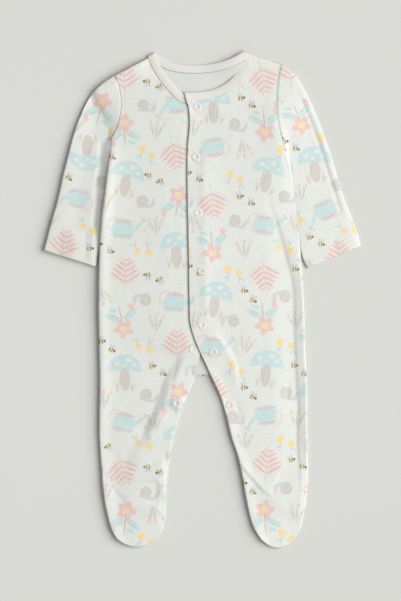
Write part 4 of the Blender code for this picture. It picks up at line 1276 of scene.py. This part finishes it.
def add_sleeve(name, sections, hole, outline, shift, slot, node):
    """A sleeve, open at the armhole and at the wrist, its two ends of a ring merged."""
    ring, flat = sleeve_points(sections, hole, outline)
    faces = grid_faces(*ring.shape[:2], flip=ring[0, 0, 0] > 0)
    piece = add_mesh(name, ring, faces, (printed_cotton, wrong_side_painted_shade), flat + shift)
    thicken(piece)
    finish_piece(piece, slot, node)
    return piece, ring


sleeve_right, right_ring = add_sleeve(
    "sleeve_right_cotton", RIGHT_SLEEVE, RIGHT_ARMHOLE, right_outline, (21.0, 40.0),
    "sleeve_right_cloth", "sleeve_right")
sleeve_left, left_ring = add_sleeve(
    "sleeve_left_cotton", LEFT_SLEEVE, LEFT_ARMHOLE, left_outline, (-14.0, 23.0),
    "sleeve_left_cloth", "sleeve_left")

# %% [markdown]
# ## The neck binding
#
# A binding is a strip folded over the raw neck edge and stitched along one side. It is one closed
# profile, a flat cushion with a groove where the needle ran, carried along the neck: up the right
# front, over the shoulder, across the back and down the left front.

# %% Binding points
BINDING_STATIONS = 60      # stations along each run
FOLD_STATIONS = 11         # and over each shoulder
BINDING_CORNERS = 19       # corners of its profile's upper side
BINDING_GROOVE, GROOVE_PLACE, GROOVE_HALF = 0.3, 2.7, 0.7   # depth, place across, half width
BINDING_BULGE = 0.15       # how far its sides bulge
BINDING_SINK = 1.5         # added to its half width for the fall that a tilt gives it
LEFT_TILT = 0.15           # slope of its run down the left front


def binding_run(table, level, up, tilt=0.0):
    """Stations along one run: middle, direction across and direction up, nine numbers each.

    tilt is the slope by which the strip falls towards its free edge, away from the run's start.
    """
    at = np.linspace(0, 1, BINDING_STATIONS)
    middle = across_binding(table, at, BINDING_WIDTH / 2)
    across = (middle - across_binding(table, at, 0.0)) / (BINDING_WIDTH / 2)
    flat, slope = np.zeros(len(at)), tilt * ease(at / 0.2)
    height = level(middle[:, 0], middle[:, 1]) - slope * (BINDING_WIDTH / 2 + BINDING_SINK)
    return np.column_stack((middle, height, across, slope, flat, flat, flat + up))


def binding_fold(upper, lower, side):
    """Stations that turn over the shoulder, from the front's level down to the back's."""
    across = upper[3:6]
    away = side * np.cross(across, (0, 0, 1))
    radius = (upper[2] - lower[2]) / 2
    centre = np.array((upper[0], upper[1], lower[2] + radius))
    angle = np.linspace(0, np.pi, FOLD_STATIONS + 2)[1:-1, None]
    up = np.cos(angle) * np.array((0, 0, 1.0)) + np.sin(angle) * away
    return np.hstack((centre + radius * up, np.broadcast_to(across, up.shape), up))


def binding_profile():
    """Offsets across and up of a cushion-shaped profile: (1 - |a|^4)^(1/3) high at a across."""
    a = np.cos(np.linspace(0, np.pi, BINDING_CORNERS))
    height = (1 - np.abs(a) ** 4) ** (1 / 3)
    groove = BINDING_GROOVE * np.exp(-((a * BINDING_WIDTH / 2 - GROOVE_PLACE) / GROOVE_HALF) ** 2)
    half_wide, half_thick = BINDING_WIDTH / 2 + BINDING_BULGE, BINDING_THICK / 2
    top = np.stack((half_wide * a, half_thick * height - groove * height), axis=1)
    return np.vstack((top, (top * (1, -1))[-2:0:-1]))


def binding_level(x, y):
    """Middle of the binding's thickness across the back."""
    return BINDING_BACK_LEVEL + neck_lift(x)


def smooth_level(level):
    """A front's level along the neck, taken without its finest ripples."""
    def at(x, y):
        height = level(x, y)
        window = np.ones(9) / 9
        return BINDING_LIFT + np.convolve(np.pad(height, 4, mode="edge"), window, mode="valid")
    return at


right_run = binding_run(RIGHT_NECK[::-1], smooth_level(under_level), 1)
right_back_run = binding_run(BACK_NECK_RIGHT, binding_level, -1)
left_back_run = binding_run(BACK_NECK_LEFT, binding_level, -1)
left_run = binding_run(LEFT_NECK, smooth_level(front_level), 1, LEFT_TILT)
stations = np.vstack((
    right_run[::-1], binding_fold(right_run[0], right_back_run[0], 1), right_back_run,
    left_back_run[-2::-1], binding_fold(left_run[0], left_back_run[0], -1)[::-1], left_run))
profile = binding_profile()
ring = (stations[:, None, 0:3] + profile[None, :, 0:1] * stations[:, None, 3:6]
        + profile[None, :, 1:2] * stations[:, None, 6:9])
run = lengths_along(stations[:, 0:3])
flat = np.stack(np.broadcast_arrays(profile[None, :, 0], run[:, None]), axis=-1)

# %% The binding's turned end, and the whole strip
TAB_TOP = (-18.3, 239.4)                 # where it leaves the neck
TAB_LONG, TAB_WIDE, TAB_THICK = 19.0, 4.6, 1.3
TAB_SWING = 3.0                          # how far it leans towards the wearer's left
TAB_LIFT = 0.1
LAP_CORNER = -15.5                       # x of the cloth's level under it


def binding_tab():
    """The binding's end, turned down over the corner of the lap: a strip that runs to a point."""
    t = np.linspace(0, 1, 30)
    x = TAB_TOP[0] + TAB_SWING * ease(t / 0.9)
    y = TAB_TOP[1] - TAB_LONG * t
    wide = TAB_WIDE / 2 * np.sqrt(np.clip(t / 0.07, 0.05, 1)) * (1 - ease((t - 0.5) / 0.5) * 0.85)
    height = front_level(np.maximum(x, LAP_CORNER), y) + WALL / 2 + TAB_LIFT
    across = wide[:, None] * profile[:, 0] / profile[0, 0]
    up = TAB_THICK / BINDING_THICK * (wide / wide.max())[:, None] * profile[:, 1]
    y = np.broadcast_to(y[:, None], across.shape)
    return np.stack((x[:, None] + across, y, height[:, None] + up), axis=-1)


def add_binding():
    """The binding and its turned end, each with its two ends closed by a face."""
    tab = binding_tab()
    first, sides = ring.shape[0] * ring.shape[1], tab.shape[1]
    points = np.vstack((ring.reshape(-1, 3), tab.reshape(-1, 3)))
    faces = [*grid_faces(*ring.shape[:2], wrap=True, flip=True), *caps(*ring.shape[:2]),
             *grid_faces(*tab.shape[:2], wrap=True, flip=True, first=first),
             *caps(len(tab), sides, first)]
    cloth = np.vstack((flat.reshape(-1, 2), tab[..., :2].reshape(-1, 2)))
    piece = add_mesh("neck_binding_strip", points, faces, (binding_cotton,), cloth, merge=False)
    finish_piece(piece, "binding_cloth", "neck_binding")
    return piece


binding = add_binding()

# %% [markdown]
# ## Poppers
#
# A ring popper is a pressed ring whose middle shows the cloth. Turning a profile round an axis is
# a lathe: every corner of the profile becomes a circle. The ring has two fine steps on its face,
# and it sits in line with the slope of the cloth under it.

# %% Popper rings
POPPER_PROFILE = (         # radius and height of its corners, from the foot of its outer wall
    (4.66, -0.1), (4.70, 0.12), (4.62, 0.34), (4.42, 0.50), (4.16, 0.57), (3.98, 0.55),
    (3.88, 0.47), (3.76, 0.47), (3.64, 0.60), (3.38, 0.68), (3.10, 0.68), (2.94, 0.62),
    (2.84, 0.54), (2.70, 0.56), (2.56, 0.52), (2.44, 0.38), (2.38, 0.20), (2.36, -0.1),
)
POPPER_SIDES = 48
POPPER_SINK = 0.05         # how far its foot is pressed into the cloth


def popper_resin():
    """Cream moulded resin with a soft gloss and a trace of unevenness."""
    material, n, shader = new_material("popper_resin", 0.42, 0.35)
    at = n.add("ShaderNodeTexCoord").outputs["Object"]
    tone = n.mix(n.noise(at, 900.0, 2.0), srgb(226, 221, 210), srgb(236, 232, 223))
    n.put(shader.inputs["Base Color"], tone)
    n.put(shader.inputs["Normal"], n.bump(0.1, 0.0001, n.noise(at, 1500.0, 2.0)))
    return material


def popper_points(place, level):
    """The profile turned round an axis that stands square to the cloth at a place."""
    angle = np.linspace(0, 2 * np.pi, POPPER_SIDES, endpoint=False)
    circle = np.stack((np.cos(angle), np.sin(angle)))
    rim = level(*(np.array(place)[:, None] + POPPER_SEAT * circle))
    slope = 2 * (rim * circle).mean(axis=1) / POPPER_SEAT
    up = np.array((-slope[0], -slope[1], 1.0))
    up /= np.linalg.norm(up)
    first = np.cross((0.0, 1.0, 0.0), up)
    first /= np.linalg.norm(first)
    second = np.cross(up, first)
    seat = np.array((*place, rim.mean() + WALL / 2 - POPPER_SINK))
    radius, height = np.array(POPPER_PROFILE).T
    spoke = np.cos(angle)[:, None] * first + np.sin(angle)[:, None] * second
    return seat + radius[None, :, None] * spoke[:, None] + height[None, :, None] * up


resin = popper_resin()
for number, place in enumerate(POPPER_PLACES, start=1):
    level = front_level if number <= LEFT_POPPERS else under_level
    turned = popper_points(place, level)
    sides, corners = turned.shape[:2]
    quads = grid_faces(corners, sides, wrap=True)
    popper = add_mesh(f"popper_ring_{number}", turned.transpose(1, 0, 2), quads, (resin,),
                      merge=False)
    finish_piece(popper, f"popper_{number}_resin", f"popper_{number}")

# %% [markdown]
# ## Stitching
#
# Thread shows as a row of short raised stitches. Each stitch is a small bent tube whose ends go
# into the cloth. The whole row is one mesh: all stitches are worked out at once as an array of
# stitch, ring round the tube and corner of the ring.

# %% Rows of stitches
STITCH, STITCH_GAP = 2.3, 0.7
BACKSTITCH, BACKSTITCH_GAP = 3.0, 0.1
THREAD, SEAM_THREAD, ARMHOLE_THREAD = 0.17, 0.3, 0.42    # radius of each thread
STITCH_RINGS, STITCH_SIDES = 5, 6
STITCH_RISE, STITCH_SINK = 0.24, 0.08


def stitch_row(path, up, stitch, gap, thick):
    """Tubes along a path: each rises in half a sine over its length and sinks at both ends."""
    knots = lengths_along(path)
    count = int(knots[-1] / (stitch + gap))
    start = (np.arange(count) + 0.5) * knots[-1] / count - stitch / 2
    t = np.linspace(0, 1, STITCH_RINGS)
    place = (start[:, None] + t * stitch).ravel()
    centre = np.stack([np.interp(place, knots, path[:, k]) for k in range(3)], axis=1)
    lift = np.stack([np.interp(place, knots, up[:, k]) for k in range(3)], axis=1)
    lift /= np.linalg.norm(lift, axis=1)[:, None]
    rise = STITCH_RISE * np.sin(np.pi * t) - STITCH_SINK
    centre = centre + lift * np.tile(rise, count)[:, None]
    along = np.gradient(centre.reshape(count, STITCH_RINGS, 3), axis=1).reshape(-1, 3)
    along /= np.linalg.norm(along, axis=1)[:, None]
    across = np.cross(along, lift)
    angle = np.linspace(0, 2 * np.pi, STITCH_SIDES, endpoint=False)[None, :, None]
    spoke = np.cos(angle) * across[:, None] + np.sin(angle) * lift[:, None]
    ring = centre[:, None] + thick * spoke
    first = (np.arange(count) * STITCH_RINGS * STITCH_SIDES)[:, None, None]
    quads = first + grid_faces(STITCH_RINGS, STITCH_SIDES, wrap=True, flip=True)
    return ring.reshape(-1, 3), quads.reshape(-1, 4)


def normals(points):
    """Unit normals of a grid of points, from the cross product of its two directions."""
    n = np.cross(np.gradient(points, axis=0), np.gradient(points, axis=1))
    return n / np.maximum(np.linalg.norm(n, axis=-1, keepdims=True), 1e-9)


def outwards(points, row, column):
    """Points and normals of a wall's outer face, which looks up at that row and column."""
    n = normals(points)
    n = n * np.sign(n[row, column, 2])
    return points + n * WALL / 2, n


def thread_cotton(name, dark, light):
    """Spun thread: dull, with a fine twist."""
    material, n, shader = new_material(name, 0.7)
    at = n.add("ShaderNodeTexCoord").outputs["Object"]
    n.put(shader.inputs["Base Color"], n.mix(n.noise(at, 1200.0, 2.0), dark, light))
    n.put(shader.inputs["Normal"], n.bump(0.4, 0.0001, n.noise(at, 4000.0, 1.0)))
    return material


def add_rows(name, rows, slot, material, stitch=STITCH, gap=STITCH_GAP, thick=THREAD):
    """One piece from several rows of stitches."""
    points, faces, first = [], [], 0
    for path, up in rows:
        row_points, row_faces = stitch_row(path, up, stitch, gap, thick)
        points.append(row_points)
        faces.append(row_faces + first)
        first += len(row_points)
    piece = add_mesh(name, np.vstack(points), np.vstack(faces), (material,), merge=False)
    finish_piece(piece, slot)


thread = thread_cotton("thread", srgb(214, 210, 200), srgb(238, 235, 228))
# The seam and grey threads are stitching whose brown and grey also paint the thin shadow lines
# along the binding's sewn edges and the crotch hem.
seam_thread_painted_shade = thread_cotton("seam_thread_painted_shade", srgb(150, 134, 116), srgb(186, 172, 154))
grey_thread_painted_shade = thread_cotton("grey_thread_painted_shade", srgb(186, 180, 168), srgb(206, 200, 188))
groove_corner = np.argmin(np.abs(profile[:BINDING_CORNERS, 0] - GROOVE_PLACE))
add_rows("thread_neck", [(ring[4:-4, groove_corner], stations[4:-4, 6:9])], "binding_cloth", thread)

left_face, left_up = outwards(left_points, 200, 30)
lap_rows = slice(left_outline.yoke + 4, -24)
add_rows("thread_lap", [(left_face[lap_rows, -TURN_STEPS], left_up[lap_rows, -TURN_STEPS])],
         "front_left_cloth", thread)

cuff_rows = []
for cuff in (right_ring, left_ring):
    face, up = outwards(cuff, -20, 20)
    for row in (-6, -8):
        cuff_rows.append((face[row], up[row]))
add_rows("thread_cuffs", cuff_rows, "sleeve_left_cloth", thread)


# %% Rows along the seams
def row_on(path, level):
    """A path laid on the outer face of a wall with that level, and its upright directions."""
    height = level(path[:, 0], path[:, 1]) + WALL / 2
    return np.column_stack((path, height)), np.broadcast_to((0.0, 0.0, 1.0), (len(path), 3))


def seam_row(table, level, start, end):
    """Row just outside the binding's sewn edge."""
    return row_on(across_binding(table, np.linspace(start, end, 80), BINDING_WIDTH + 0.45), level)


def armhole_row(hole, start, end, sink):
    """Row along an armhole seam on the upper cloth, sunk a little into its groove."""
    path = armhole(hole, np.linspace(start, end, 60))
    return row_on(path, lambda x, y: front_level(x, y) - sink)


def sewn_front(x, y):
    """The right front's level where the binding presses it down."""
    return under_level(x, y) - neck_dip(x, y, RIGHT_NECK)


def add_backstitch(name, rows, slot, material, thick=SEAM_THREAD):
    """One piece from several rows of backstitch, which leaves hardly a gap."""
    add_rows(name, rows, slot, material, BACKSTITCH, BACKSTITCH_GAP, thick)


hem = np.array((CROTCH_RIGHT, CROTCH_MIDDLE, CROTCH_LEFT)) + (0.0, 0.9)
hem = smooth(np.arange(3.0), hem, np.linspace(0, 2, 30))
# Painted shade: these rows lie where the binding's edge and the crotch hem throw thin shadow lines,
# and their dark thread stands in for that shade as well as for the stitching.
add_backstitch("thread_seam_painted_shade", [seam_row(RIGHT_NECK, sewn_front, 0.2, 0.97)], "binding_cloth",
               seam_thread_painted_shade)
add_backstitch("thread_grey_painted_shade", [
    row_on(hem, back_level), armhole_row(RIGHT_ARMHOLE, 0.02, 0.8, GROOVE_DEPTHS[0]),
    seam_row(BACK_NECK_RIGHT, back_level, 0.12, 1.0),
    seam_row(BACK_NECK_LEFT, back_level, 0.12, 1.0)], "binding_cloth", grey_thread_painted_shade)
add_backstitch("thread_armhole", [armhole_row(LEFT_ARMHOLE, 0.01, 0.99, GROOVE_DEPTHS[1] + 0.1)],
               "sleeve_left_cloth", thread, ARMHOLE_THREAD)

# %% [markdown]
# ## Cloth sizes
#
# The area of each cloth piece's surface is measured from its grid, all round on a sleeve, and
# printed.

def cloth_area(points):
    """Area of a grid of points, in square metres: half the cross product of its diagonals."""
    one = points[1:, 1:] - points[:-1, :-1]
    two = points[1:, :-1] - points[:-1, 1:]
    return 0.5 * np.linalg.norm(np.cross(one, two), axis=-1).sum() * MM * MM


areas = {"front_right": cloth_area(right_points), "front_left": cloth_area(left_points),
         "back": cloth_area(right_half) + cloth_area(left_half),
         "sleeve_right": cloth_area(right_ring), "sleeve_left": cloth_area(left_ring),
         "binding": run[-1] * (BINDING_WIDTH + BINDING_THICK) * MM * MM}
print("surface areas in square metres:", {name: round(area, 4) for name, area in areas.items()})
print("binding length in mm:", round(run[-1], 1))

# %% [markdown]
# ## Table, light and camera
#
# Flat-lay pictures of clothes are taken from straight above with one large soft light to the
# side. The lamp here is a wide disk to the wearer's left of the table, and the world fills the
# shadows.

# %% Table
LAMP_FALL = (0.62, 0.19, 0.04)   # lamp's light over the table: 1 + a x + b x^2 + c y
LAMP_SHARE = 0.70                # of all the light at the middle
GRADED = 0.4                     # metres from the middle up to which the paper is graded


def table_paper():
    """Smooth pale paper, graded so that it looks even although the lamp stands on one side."""
    material, n, shader = new_material("table_paper", 1.0, 0.0)
    at = n.add("ShaderNodeTexCoord").outputs["Object"]
    x, y = [n.math("MAXIMUM", n.math("MINIMUM", part, GRADED), -GRADED) for part in n.split(at)]
    light = n.line(n.line(x, LAMP_FALL[1], LAMP_FALL[0]), x, 1.0)
    light = n.line(y, LAMP_FALL[2], light)
    light = n.line(light, LAMP_SHARE, 1 - LAMP_SHARE)
    paper = n.mix(n.noise(at, 3.0, 2.0), srgb(216.6, 217.6, 212.6), srgb(217.4, 218.4, 213.4))
    even = n.add("ShaderNodeVectorMath", {0: paper, "Scale": n.math("DIVIDE", 1.0, light)},
                 operation="SCALE")
    n.put(shader.inputs["Base Color"], even.outputs[0])
    return material


FLOOR_HALF = 6.0
corners = np.array(((-1, -1, 0), (1, -1, 0), (1, 1, 0), (-1, 1, 0))) * FLOOR_HALF
floor_mesh = bpy.data.meshes.new("floor")
floor_mesh.from_pydata(corners.tolist(), [], [(0, 1, 2, 3)])
floor_mesh.materials.append(table_paper())
floor = add_object("floor", floor_mesh)

# %% Light
LAMP_POWER, LAMP_AWAY, LAMP_WIDE = 88.0, 2.6, 2.8   # watts, metres, metres
LAMP_TURN, LAMP_HEIGHT = 5.0, 43.0    # degrees from +x towards +y, and above the table
WORLD_STRENGTH = 0.318

lamp = bpy.data.lights.new("softbox", "AREA")
lamp.shape = "DISK"
lamp.size = LAMP_WIDE
lamp.energy = LAMP_POWER
softbox = add_object("softbox", lamp)
turn, rise = np.radians(LAMP_TURN), np.radians(LAMP_HEIGHT)
towards_lamp = np.array((np.cos(rise) * np.cos(turn), np.cos(rise) * np.sin(turn), np.sin(rise)))
softbox.location = LAMP_AWAY * towards_lamp
softbox.rotation_euler = (0, np.pi / 2 - rise, turn)
softbox.visible_camera = False

world = bpy.data.worlds.new("room")
world.use_nodes = True
background = world.node_tree.nodes["Background"]
background.inputs["Color"].default_value = WHITE
background.inputs["Strength"].default_value = WORLD_STRENGTH
bpy.context.scene.world = world
bpy.context.scene.view_settings.view_transform = "Standard"

# %% Camera
CAMERA_HEIGHT = 3.0
CAMERA_X, CAMERA_Y = -0.0022, -0.0018   # from the garment's middle
VIEW_HIGH = 0.6972         # height of the view at the table, in metres
SENSOR_HIGH = 36.0
camera_data = bpy.data.cameras.new("camera")
camera_data.sensor_fit = "VERTICAL"
camera_data.sensor_height = SENSOR_HIGH
camera_data.lens = SENSOR_HIGH * CAMERA_HEIGHT / VIEW_HIGH
camera = add_object("camera", camera_data)
camera.location = (CAMERA_X + CENTRE[0] * MM, CAMERA_Y + CENTRE[1] * MM, CAMERA_HEIGHT)
bpy.context.scene.camera = camera
